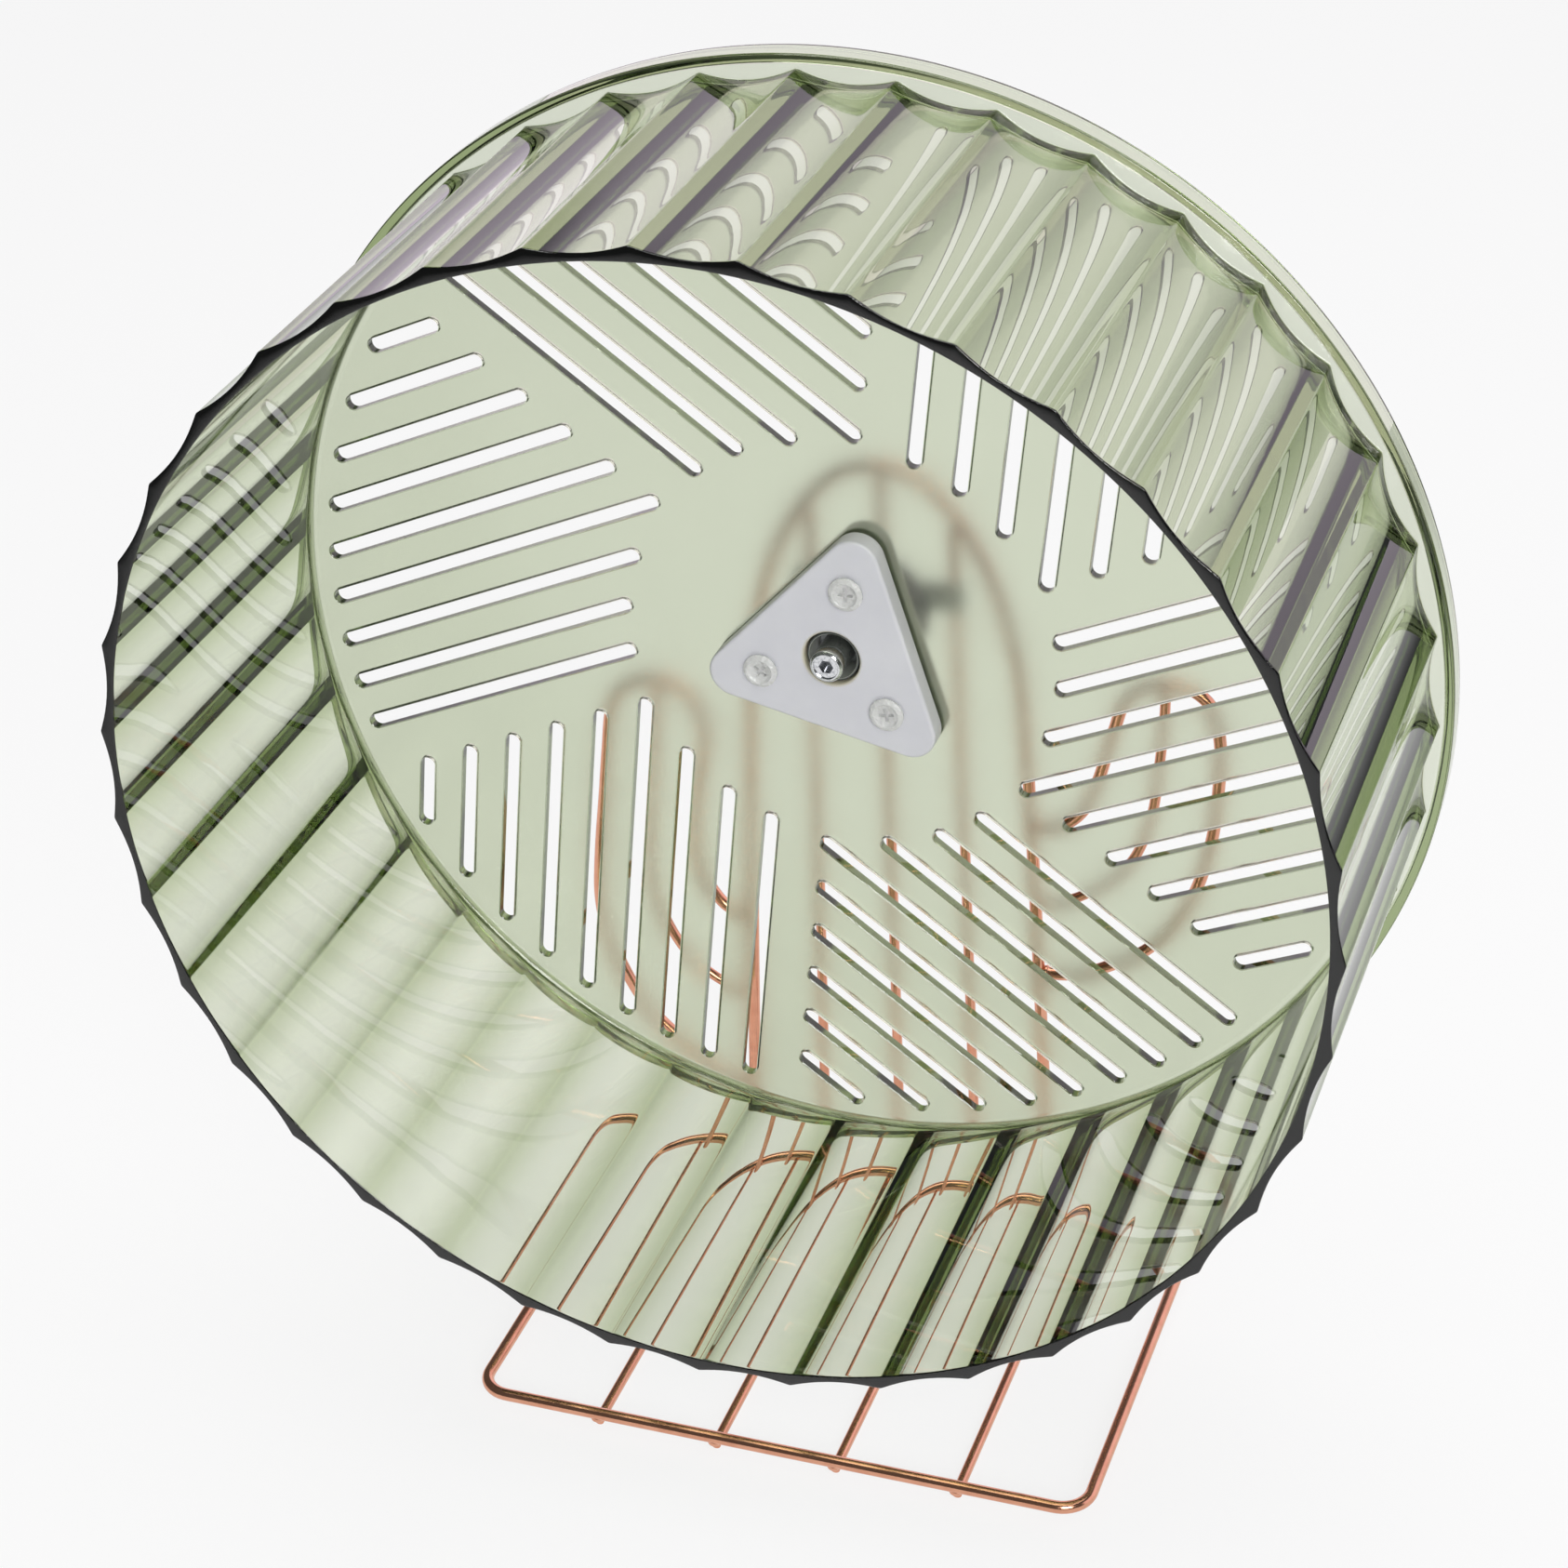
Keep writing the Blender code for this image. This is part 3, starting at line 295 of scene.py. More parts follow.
def mottle(tree, place, waves, low, high, detail=3.0, span=(0.3, 0.7)):
    """Soft random patches between two values; the span is the part of the noise that shows."""
    patches = add_node(tree, NOISE, {"Vector": place, "Scale": waves, "Detail": detail})
    return add_node(tree, RANGE, {
        "Value": patches, "From Min": span[0], "From Max": span[1], "To Min": low, "To Max": high})


def finish_material(tree, height, rise, inputs, volume=None):
    """End a material in a Principled shader, raised by a height pattern whose swing is a length."""
    bump = add_node(tree, "ShaderNodeBump", {"Height": height, "Distance": rise})
    shader = add_node(tree, "ShaderNodeBsdfPrincipled", {"Normal": bump, **inputs})
    output = add_node(tree, "ShaderNodeOutputMaterial", {"Surface": shader})
    if volume:
        tree.links.new(volume.outputs[0], output.inputs["Volume"])


def clear_green_plastic():
    """Clear tinted polystyrene: glossy as moulded on the track, satin where it is marked."""
    material, tree = new_material("clear_green_plastic")
    place = object_from_axle(tree)
    satin = add_node(tree, "ShaderNodeAttribute", attribute_name="satin").outputs["Fac"]
    etched = mottle(tree, place, SATIN_WAVES, SATIN_ROUGHNESS - SATIN_SWING,
                    SATIN_ROUGHNESS + SATIN_SWING)
    roughness = add_node(tree, MATHS, {0: satin, 1: etched, 2: GLOSS_ROUGHNESS},
                         operation="MULTIPLY_ADD")
    ripple = add_node(tree, NOISE, {"Vector": place, "Scale": RIPPLE_WAVES, "Detail": 1.0})
    absorption = add_node(tree, "ShaderNodeVolumeAbsorption", {
        "Color": colour(GREEN_HEX), "Density": GREEN_DENSITY})
    finish_material(tree, ripple, RIPPLE_HEIGHT, {
        "Base Color": colour(SURFACE_HEX), "Roughness": roughness, "IOR": STYRENE_IOR,
        "Transmission Weight": 1.0}, absorption)
    return material


def drum_columns():
    """Angles of all columns round the drum."""
    pitch = 360 / FLUTES
    first = FLUTE_TURN + REST_TURN
    return [first + pitch * (flute + share) for flute in range(FLUTES) for share in FLUTE_SHARES]


def arc(centre, radius, start, end, steps):
    """Points along an arc from one angle to another."""
    turns = [math.radians(start + (end - start) * step / steps) for step in range(steps + 1)]
    return [(centre[0] + radius * math.cos(turn), centre[1] + radius * math.sin(turn))
            for turn in turns]


def drum_section():
    """Section from the back's front face round the rim and flange to its rear face.

    Each entry has a radius, a depth and whether the flutes raise it. Spare rings
    beside the roundings keep the light's path through the long flat faces true.
    """
    outer = TRACK_RADIUS + TRACK_WALL
    lip = FLANGE_RADIUS - FLANGE_WALL
    front = TRACK_FRONT + RIM_ROUNDING
    corner = TRACK_RADIUS - CORNER_FILLET
    edge = FLANGE_EDGE
    rear = FLANGE_DEPTH - edge
    smooth = [(corner - SPARE, BACK_FRONT)]
    smooth += arc((corner, BACK_FRONT - CORNER_FILLET), CORNER_FILLET, 90, 0, CORNER_STEPS)
    smooth.append((TRACK_RADIUS, BACK_FRONT - CORNER_FILLET - SPARE))
    smooth.append((TRACK_RADIUS, front + SPARE))
    smooth += arc((TRACK_RADIUS + RIM_ROUNDING, front), RIM_ROUNDING, 180, 270, ROUND_STEPS)
    fluted = arc((outer - RIM_ROUNDING, front), RIM_ROUNDING, 270, 360, ROUND_STEPS)
    fluted.append((outer, front + SPARE))
    fluted.append((outer, -FLANGE_FILLET - SPARE))
    fluted += arc((outer + FLANGE_FILLET, -FLANGE_FILLET), FLANGE_FILLET, 180, 90, ROUND_STEPS)
    flange = [(FLANGE_RADIUS - FLANGE_CHAMFER - SPARE, 0.0)]
    flange += arc((FLANGE_RADIUS - FLANGE_CHAMFER, FLANGE_CHAMFER), FLANGE_CHAMFER, 270, 360,
                  ROUND_STEPS)
    flange.append((FLANGE_RADIUS, FLANGE_CHAMFER + SPARE))
    flange.append((FLANGE_RADIUS, rear - SPARE))
    flange += arc((FLANGE_RADIUS - edge, rear), edge, 0, 90, EDGE_STEPS)
    flange += arc((lip + edge, rear), edge, 90, 180, EDGE_STEPS)
    flange.append((lip, rear - SPARE))
    flange.append((lip, BACK_REAR + edge + SPARE))
    flange += arc((lip - edge, BACK_REAR + edge), edge, 0, -90, EDGE_STEPS)
    flange.append((lip - edge - SPARE, BACK_REAR))
    return [(radius, depth, raised)
            for points, raised in ((smooth, 0.0), (fluted, 1.0), (flange, 0.0))
            for radius, depth in points]


def slot_outlines(growth):
    """Outlines of all air slots, as points across and above the axle."""
    outlines = []
    radius = SLOT_RADIUS + growth
    half_group = math.pi / SLOT_GROUPS
    for group in range(SLOT_GROUPS):
        turn = math.radians(REST_TURN + 360 / SLOT_GROUPS * group)
        for index in range(SLOTS_PER_GROUP):
            aside = SLOT_FIRST + SLOT_PITCH * index
            start = SLOT_RADIUS - math.sqrt(SLOT_OUTER ** 2 - aside ** 2)
            inner = aside * math.tan(half_group)
            if aside < SLOT_INNER:
                inner = max(inner, math.sqrt(SLOT_INNER ** 2 - aside ** 2))
            end = -inner - SLOT_RADIUS
            outline = arc((end, aside), radius, -90, 90, SLOT_END_STEPS)
            outline += arc((start, aside), radius, 90, 270, SLOT_END_STEPS)
            outlines.append([(along * math.cos(turn) - height * math.sin(turn),
                              along * math.sin(turn) + height * math.cos(turn))
                             for along, height in outline])
    return outlines


def ring_outline(radius, sides, centre=(0.0, 0.0)):
    """Outline of a round hole."""
    return arc(centre, radius, 0, 360, sides)[:-1]


def screw_centres():
    """Centres of the hub screws, across and above the axle."""
    return arc((0.0, 0.0), SCREW_CIRCLE, HUB_TURN + REST_TURN, HUB_TURN + REST_TURN + 360, 3)[:-1]


def hole_outlines(growth):
    """Outlines of every hole in the drum's back."""
    holes = slot_outlines(growth)
    holes += [ring_outline(SCREW_HOLE + growth, HOLE_SIDES, centre) for centre in screw_centres()]
    holes.append(ring_outline(DRUM_BORE + growth, BORE_SIDES))
    return holes


def loop_at(bm, outline, depth):
    """Corners along an outline at a depth."""
    return [bm.verts.new((across, AXLE_Y + depth, AXLE_Z + height)) for across, height in outline]


def bridge(bm, first, second):
    """Faces between two closed loops with as many points."""
    for index in range(len(first)):
        following = (index + 1) % len(first)
        bm.faces.new((first[index], first[following], second[following], second[index]))


def fill_flat(bm, outer, holes):
    """A flat face with holes, as triangles."""
    loops = [outer] + holes
    corners = [corner for loop in loops for corner in loop]
    flat = [[Vector((corner.co.x, corner.co.z, 0.0)) for corner in loop] for loop in loops]
    return [bm.faces.new([corners[index] for index in triangle])
            for triangle in geometry.tessellate_polygon(flat)]


def sharpen(mesh, crease):
    """Smooth faces, and crisp edges past an angle."""
    mesh.shade_smooth()
    mesh.set_sharp_from_angle(angle=math.radians(crease))


def to_mesh(bm, name, crease):
    """A mesh with outward normals, smooth round forms and crisp edges."""
    bmesh.ops.recalc_face_normals(bm, faces=bm.faces)
    mesh = bpy.data.meshes.new(name)
    bm.to_mesh(mesh)
    bm.free()
    sharpen(mesh, crease)
    return mesh


def plain_drum():
    """The drum before its outside is fluted, with marks for the flutes and the satin faces."""
    bm = bmesh.new()
    fluted = bm.verts.layers.float.new("fluted")
    satin = bm.faces.layers.float.new("satin")
    angles = drum_columns()
    rings = []
    for radius, depth, raised in drum_section():
        rings.append([bm.verts.new(around(radius, angle, depth)) for angle in angles])
        for corner in rings[-1]:
            corner[fluted] = raised
    for first, second in zip(rings, rings[1:]):
        bridge(bm, first, second)
    levels = (
        (BACK_FRONT, SLOT_BEVEL), (BACK_FRONT + SLOT_BEVEL, 0.0),
        (BACK_REAR - SLOT_BEVEL, 0.0), (BACK_REAR, SLOT_BEVEL),
    )
    walls = [[loop_at(bm, outline, depth) for outline in hole_outlines(growth)]
             for depth, growth in levels]
    for first, second in zip(walls, walls[1:]):
        for inner, outer in zip(first, second):
            bridge(bm, inner, outer)
    for face in fill_flat(bm, rings[0], walls[0]) + fill_flat(bm, rings[-1], walls[-1]):
        face[satin] = 1.0
    return to_mesh(bm, "running_drum", DRUM_CREASE)


def start_rule(name, inputs):
    """A geometry node tree with its named inputs, and a mesh and a material beside them."""
    tree = bpy.data.node_groups.new(name, "GeometryNodeTree")
    for label, kind in (("Geometry", "Geometry"), *inputs, ("Material", "Material")):
        tree.interface.new_socket(label, in_out="INPUT", socket_type="NodeSocket" + kind)
    tree.interface.new_socket("Geometry", in_out="OUTPUT", socket_type="NodeSocketGeometry")
    return tree, add_node(tree, "NodeGroupInput").outputs


def end_rule(tree, shape, material):
    """Make a tree's instances real, give them their material and hand them out."""
    real = add_node(tree, "GeometryNodeRealizeInstances", {"Geometry": shape})
    dressed = add_node(tree, "GeometryNodeSetMaterial", {"Geometry": real, "Material": material})
    add_node(tree, "NodeGroupOutput", {0: dressed})
    return tree


def flute_rule():
    """Geometry nodes that raise the marked outside into hollow flutes with rounded ridges."""
    tree, given = start_rule("flute_rule", [(label, "Float") for label in (
        "Flute count", "First ridge angle", "Track front", "Front ridge height",
        "Back ridge height", "Ridge rounding")])
    place = from_axle(tree, add_node(tree, "GeometryNodeInputPosition"))
    parts = add_node(tree, "ShaderNodeSeparateXYZ", {0: place}).outputs
    angle = add_node(tree, MATHS, {0: parts["Z"], 1: parts["X"]}, operation="ARCTAN2")
    turned = add_node(tree, MATHS, {0: angle, 1: given["First ridge angle"]}, operation="SUBTRACT")
    per_turn = add_node(tree, MATHS, {0: given["Flute count"], 1: 2 * math.pi}, operation="DIVIDE")
    counted = add_node(tree, MATHS, {0: turned, 1: per_turn}, operation="MULTIPLY")
    phase = add_node(tree, MATHS, {0: counted}, operation="FRACT")
    # From 0 on a ridge to 1 in the middle of a flute, and rounded there and back
    swing = add_node(tree, MATHS, {0: phase, 1: 2.0, 2: -1.0}, operation="MULTIPLY_ADD")
    from_middle = add_node(tree, MATHS, {0: swing}, operation="ABSOLUTE")
    from_ridge = add_node(tree, MATHS, {0: 1.0, 1: from_middle}, operation="SUBTRACT")
    blunt = add_node(tree, MATHS, {0: given["Ridge rounding"], 1: 2.0}, operation="POWER")
    squared = add_node(tree, MATHS, {0: from_ridge, 1: from_ridge, 2: blunt},
                       operation="MULTIPLY_ADD")
    rounded = add_node(tree, MATHS, {0: squared}, operation="SQRT")
    rise = add_node(tree, MATHS, {0: 1.0, 1: rounded}, operation="SUBTRACT")
    kept = add_node(tree, MATHS, {0: rise, 1: 0.0}, operation="MAXIMUM")
    shape = add_node(tree, MATHS, {0: kept, 1: 2.0}, operation="POWER")
    height = add_node(tree, RANGE, {
        "Value": parts["Y"], "From Min": given["Track front"], "From Max": 0.0,
        "To Min": given["Front ridge height"], "To Max": given["Back ridge height"]})
    marked = add_node(tree, "GeometryNodeInputNamedAttribute", {"Name": "fluted"},
                      data_type="FLOAT").outputs["Attribute"]
    raised = add_node(tree, MATHS, {0: shape, 1: height}, operation="MULTIPLY")
    lift = add_node(tree, MATHS, {0: raised, 1: marked}, operation="MULTIPLY")
    flat = add_node(tree, "ShaderNodeCombineXYZ", {"X": parts["X"], "Z": parts["Z"]})
    outward = add_node(tree, VECTOR_MATHS, {0: flat}, operation="NORMALIZE")
    offset = add_node(tree, VECTOR_MATHS, {0: outward, "Scale": lift}, operation="SCALE")
    moved = add_node(tree, "GeometryNodeSetPosition", {
        "Geometry": given["Geometry"], "Offset": offset})
    return end_rule(tree, moved, given["Material"])


def grow(name, mesh, tree, values):
    """A piece whose mesh is what a node tree makes of another mesh."""
    piece = add_object(name, mesh)
    rule = piece.modifiers.new("rule", "NODES")
    rule.node_group = tree
    for item in tree.interface.items_tree:
        if item.in_out == "INPUT" and item.name in values:
            rule[item.identifier] = values[item.name]
    seen = piece.evaluated_get(bpy.context.evaluated_depsgraph_get())
    piece.data = bpy.data.meshes.new_from_object(seen)
    piece.data.name = name
    piece.modifiers.remove(rule)
    return piece


def settle(piece, body, slot, *nodes):
    """Let a finished piece ride a body and stand for its CAD nodes."""
    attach(piece, body)
    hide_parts(*nodes)


drum = grow("running_drum_shell", plain_drum(), flute_rule(), {
    "Flute count": float(FLUTES), "First ridge angle": math.radians(FLUTE_TURN + REST_TURN),
    "Track front": TRACK_FRONT, "Front ridge height": RIDGE_FRONT,
    "Back ridge height": RIDGE_BACK, "Ridge rounding": RIDGE_ROUNDING,
    "Material": clear_green_plastic(),
})
sharpen(drum.data, DRUM_CREASE)
settle(drum, "wheel", "clear_green_plastic", "running_drum")

# Hub plate: a milky three-cornered polypropylene moulding, screwed to the front of
# the drum's back, with a rounded front edge, a bevelled centre hole and screw holes.
HUB_INRADIUS = 0.0182
HUB_CORNER = 0.006
HUB_CORNER_STEPS = 16
HUB_REAR = -0.0011
HUB_FRONT = -0.0062
HUB_EDGE = 0.0006
HUB_BORE = 0.0065
HUB_BORE_EDGE = 0.0007
HUB_SCREW_EDGE = 0.0002
MOULDED_CREASE = 50.0
MILKY_HEX = "D4D4DB"
MILKY_CLOUD_HEX = "DADAE0"
# Cream tint painted on the centre hole's bevel: painted light for the light its cut edge catches
BEVEL_PAINTED_LIGHT_HEX = "CFC9B4"
PAINTED_BEVEL_START = 0.0001
MILKY_ROUGHNESS = 0.32
MILKY_SWING = 0.04
# Of polypropylene and of acrylic alike
PLASTIC_IOR = 1.49
MILKY_GLOW = 0.35
MILKY_GLOW_SHARES = (1.0, 1.0, 1.1)
MILKY_GLOW_DEPTH = 0.003
# Flow clouds of 11 mm, mould grain of 1.1 mm
CLOUD_WAVES = 90.0
GRAIN_WAVES = 900.0
GRAIN_HEIGHT = 0.000012


def wall(front, rear, front_edge, rear_edge):
    """Wall of an outline with rounded edges, as depths and insets from front to rear."""
    turns = [math.pi / 2 * step / ROUND_STEPS for step in range(ROUND_STEPS + 1)]
    points = [(front, front_edge + SPARE)]
    points += [(front + front_edge * (1 - math.cos(turn)), front_edge * (1 - math.sin(turn)))
               for turn in turns]
    points += [(front + front_edge + SPARE, 0.0), (rear - rear_edge - SPARE, 0.0)]
    points += [(rear - rear_edge * (1 - math.sin(turn)), rear_edge * (1 - math.cos(turn)))
               for turn in turns]
    points.append((rear, rear_edge + SPARE))
    return points


def slab(bm, rims):
    """A plate between two flat faces; each rim is an outline for an inset, with its wall."""
    ends = []
    for outline, levels in rims:
        loops = [loop_at(bm, outline(inset), depth) for depth, inset in levels]
        for first, second in zip(loops, loops[1:]):
            bridge(bm, first, second)
        ends.append((loops[0], loops[-1]))
    for loops in zip(*ends):
        fill_flat(bm, loops[0], list(loops[1:]))


def triangle_outline(inset):
    """Rounded triangle of the hub plate and the housing's flange."""
    first = HUB_TURN + REST_TURN
    centres = arc((0.0, 0.0), 2 * (HUB_INRADIUS - HUB_CORNER), first, first + 360, 3)[:-1]
    outline = []
    for corner, centre in enumerate(centres):
        start = first + 120 * corner - 60
        outline += arc(centre, HUB_CORNER - inset, start, start + 120, HUB_CORNER_STEPS)
    return outline


def round_hole(radius, sides, centre=(0.0, 0.0)):
    """A round hole's outline as a function of how much its edge has grown."""
    return lambda growth: ring_outline(radius + growth, sides, centre)


def screw_holes(front, rear):
    """Rims of the three screw holes through a plate."""
    edges = wall(front, rear, HUB_SCREW_EDGE, HUB_SCREW_EDGE)
    return [(round_hole(SCREW_HOLE, HOLE_SIDES, centre), edges) for centre in screw_centres()]


def finished(name, mesh, material, body, slot, *nodes):
    """A mesh with its material as a piece that stands for CAD nodes."""
    mesh.materials.append(material)
    piece = add_object(name, mesh)
    settle(piece, body, slot, *nodes)
    return piece


def reach_from_axle(tree, place):
    """Distance from the axle's line."""
    flat = add_node(tree, VECTOR_MATHS, {0: place, 1: (1.0, 0.0, 1.0)}, operation="MULTIPLY")
    return add_node(tree, VECTOR_MATHS, {0: flat}, operation="LENGTH").outputs["Value"]


def milky_plastic():
    """Milky polypropylene: light spreads inside it, its moulded face is satin, and its bore's bevel
    has a cream tint of painted light.
    """
    material, tree = new_material("milky_plastic")
    place = object_from_axle(tree)
    milk = add_node(tree, MIX, {
        "Factor": mottle(tree, place, CLOUD_WAVES, 0.0, 1.0),
        6: colour(MILKY_HEX), 7: colour(MILKY_CLOUD_HEX)}, data_type="RGBA").outputs[2]
    # Painted light: the bevel round the centre hole turns cream
    painted_light_on_bevel = add_node(tree, RANGE, {
        "Value": reach_from_axle(tree, place), "From Min": HUB_BORE + PAINTED_BEVEL_START,
        "From Max": HUB_BORE + HUB_BORE_EDGE, "To Min": 1.0, "To Max": 0.0})
    tint = add_node(tree, MIX, {
        "Factor": painted_light_on_bevel, 6: milk, 7: colour(BEVEL_PAINTED_LIGHT_HEX)}, data_type="RGBA").outputs[2]
    roughness = mottle(tree, place, CLOUD_WAVES, MILKY_ROUGHNESS - MILKY_SWING,
                       MILKY_ROUGHNESS + MILKY_SWING)
    grain = add_node(tree, NOISE, {"Vector": place, "Scale": GRAIN_WAVES, "Detail": 2.0})
    finish_material(tree, grain, GRAIN_HEIGHT, {
        "Base Color": tint, "Roughness": roughness, "IOR": PLASTIC_IOR,
        "Subsurface Weight": MILKY_GLOW, "Subsurface Radius": MILKY_GLOW_SHARES,
        "Subsurface Scale": MILKY_GLOW_DEPTH})
    return material


def hub_plate_mesh():
    """The plate with its holes."""
    bm = bmesh.new()
    slab(bm, [
        (triangle_outline, wall(HUB_FRONT, HUB_REAR, HUB_EDGE, HUB_SCREW_EDGE)),
        (round_hole(HUB_BORE, BORE_SIDES),
         wall(HUB_FRONT, HUB_REAR, HUB_BORE_EDGE, HUB_SCREW_EDGE)),
    ] + screw_holes(HUB_FRONT, HUB_REAR))
    return to_mesh(bm, "hub_plate", MOULDED_CREASE)


finished("hub_plate_milky", hub_plate_mesh(), milky_plastic(), "wheel", "milky_plastic",
         "hub_plate")

# Hub screws: three clear acrylic pan-head screws with a cross recess in a dished
# head, which hold the plate, the drum's back and the bearing housing together.
SCREW_SHANK = 0.00175
SCREW_HEAD = 0.004
SCREW_SEAT = -0.0065
SCREW_CROWN = -0.0077
SCREW_TIP = 0.0056
SCREW_EDGE = 0.0001
SCREW_SIDES = 32
SCREW_TURN = 0.7
SCREW_CREASE = 30.0
RECESS_LENGTH = 0.0038
RECESS_WIDTH = 0.0009
RECESS_DEPTH = 0.0014
# Size of the recess at its foot and above its mouth
RECESS_SHARES = (1.2, 0.8)
HEAD_DISH = 0.0005
HEAD_SLOPE = 37.0
HEAD_RIM = 0.0029
RIM_FLAT = 0.0003
DISH_WALL = 0.0004
DISH_CENTRE = 0.0001
THREAD_START = 0.0018
THREAD_PITCH = 0.0007
THREAD_DEPTH = 0.00012
TIP_LENGTH = 0.0004
TIP_INSET = 0.0003
# Below full transmission the white base colour shows as diffuse white: painted light that stands in
# for the lit plate seen through the head
CLEAR_AND_PAINTED_LIGHT_HEX = "FDFDFD"
CLEAR_TRANSMISSION = 0.42
CLEAR_ROUGHNESS = (0.015, 0.045)
# Haze patches of 3 mm; ripples of 1 mm, deep enough to sparkle as the small heads do
HAZE_WAVES = 300.0
SPARKLE_WAVES = 1000.0
SPARKLE_HEIGHT = 0.0005


def clear_plastic():
    """Clear moulded acrylic with a diffuse white share, painted light for the lit plate under the
    head, and ripples that break up what it shows.
    """
    material, tree = new_material("clear_plastic")
    place = object_from_axle(tree)
    ripple = add_node(tree, NOISE, {"Vector": place, "Scale": SPARKLE_WAVES, "Detail": 1.0})
    finish_material(tree, ripple, SPARKLE_HEIGHT, {
        "Base Color": colour(CLEAR_AND_PAINTED_LIGHT_HEX), "IOR": PLASTIC_IOR,
        "Roughness": mottle(tree, place, HAZE_WAVES, *CLEAR_ROUGHNESS, detail=2.0),
        "Transmission Weight": CLEAR_TRANSMISSION})
    return material


def lathe(bm, profile, sides):
    """Skin of a turned form about the axle's line; a profile point is a radius and a depth."""
    rings = []
    for radius, depth in profile:
        outline = ring_outline(radius, sides) if radius else [(0.0, 0.0)]
        rings.append([bm.verts.new((across, depth, height)) for across, height in outline])
    for first, second in zip(rings, rings[1:]):
        if len(first) > 1 and len(second) > 1:
            bridge(bm, first, second)
            continue
        tip, ring = (first, second) if len(first) == 1 else (second, first)
        for index in range(sides):
            bm.faces.new((tip[0], ring[index], ring[(index + 1) % sides]))


def screw_mesh():
    """One screw on the axle's line: a dished head and a threaded shank."""
    bm = bmesh.new()
    flat = HEAD_RIM + RIM_FLAT
    edge = SCREW_CROWN + (SCREW_HEAD - flat) * math.tan(math.radians(HEAD_SLOPE))
    dish = SCREW_CROWN + HEAD_DISH
    profile = [
        (0.0, dish + DISH_CENTRE), (HEAD_RIM - DISH_WALL, dish), (HEAD_RIM, SCREW_CROWN),
        (flat, SCREW_CROWN), (SCREW_HEAD, edge), (SCREW_HEAD, SCREW_SEAT - SCREW_EDGE),
        (SCREW_HEAD - SCREW_EDGE, SCREW_SEAT), (SCREW_SHANK, SCREW_SEAT),
    ]
    for index in range(int((SCREW_TIP - TIP_LENGTH - THREAD_START) / THREAD_PITCH)):
        start = THREAD_START + THREAD_PITCH * index
        profile += [(SCREW_SHANK, start), (SCREW_SHANK - THREAD_DEPTH, start + THREAD_PITCH / 2)]
    profile += [(SCREW_SHANK, SCREW_TIP - TIP_LENGTH), (SCREW_SHANK - TIP_INSET, SCREW_TIP),
                (0.0, SCREW_TIP)]
    lathe(bm, profile, SCREW_SIDES)
    return to_mesh(bm, "hub_screw", SCREW_CREASE)


def cross_cutter():
    """Tapered cross that sinks the recess."""
    bm = bmesh.new()
    half = RECESS_LENGTH / 2
    side = RECESS_WIDTH / 2
    plus = [(half, side), (side, side), (side, half), (-side, half), (-side, side), (-half, side),
            (-half, -side), (-side, -side), (-side, -half), (side, -half), (side, -side),
            (half, -side)]
    loops = []
    for reach, share in zip((-RECESS_DEPTH, RECESS_DEPTH), RECESS_SHARES):
        loops.append([bm.verts.new((across * share, SCREW_CROWN + reach, height * share))
                      for across, height in plus])
    bridge(bm, *loops)
    for loop in loops:
        bm.faces.new(loop)
    return to_mesh(bm, "cross_cutter", DRUM_CREASE)


def carved(mesh, cutter_mesh):
    """A mesh with another one cut out of it."""
    whole = add_object("whole", mesh)
    cutter = add_object("cutter", cutter_mesh)
    cut = whole.modifiers.new("cut", "BOOLEAN")
    cut.operation = "DIFFERENCE"
    cut.solver = "EXACT"
    cut.object = cutter
    seen = whole.evaluated_get(bpy.context.evaluated_depsgraph_get())
    result = bpy.data.meshes.new_from_object(seen)
    for item in (whole, cutter):
        bpy.data.objects.remove(item)
    return result


def instance_rule(name):
    """Geometry nodes that put one shape on every point, sized and turned by the points."""
    tree, given = start_rule(name, (("Shape", "Object"), ("Turn step", "Float")))
    shape = add_node(tree, "GeometryNodeObjectInfo", {"Object": given["Shape"]}).outputs["Geometry"]
    size = add_node(tree, "GeometryNodeInputNamedAttribute", {"Name": "size"},
                    data_type="FLOAT_VECTOR").outputs["Attribute"]
    turn = add_node(tree, MATHS, {
        0: add_node(tree, "GeometryNodeInputIndex"), 1: given["Turn step"]}, operation="MULTIPLY")
    placed = add_node(tree, "GeometryNodeInstanceOnPoints", {
        "Points": given["Geometry"], "Instance": shape, "Scale": size,
        "Rotation": add_node(tree, "ShaderNodeCombineXYZ", {"Y": turn})})
    return end_rule(tree, placed, given["Material"])


def scatter(name, shape_mesh, places, sizes, material, turn_step=0.0):
    """A piece made of one shape on many points, each with a size along the three axes."""
    points = bpy.data.meshes.new(name)
    points.from_pydata(places, [], [])
    sized = points.attributes.new("size", "FLOAT_VECTOR", "POINT")
    for item, size in zip(sized.data, sizes):
        item.vector = size
    shape = add_object("shape", shape_mesh)
    piece = grow(name, points, instance_rule(name + "_rule"), {
        "Shape": shape, "Turn step": turn_step, "Material": material,
    })
    bpy.data.objects.remove(shape)
    return piece


screws = scatter(
    "hub_screws_clear", carved(screw_mesh(), cross_cutter()),
    [(across, AXLE_Y, AXLE_Z + height) for across, height in screw_centres()],
    [(1.0, 1.0, 1.0)] * 3, clear_plastic(), SCREW_TURN,
)
sharpen(screws.data, MOULDED_CREASE)
settle(screws, "wheel", "clear_plastic", "hub_screw_1", "hub_screw_2", "hub_screw_3")

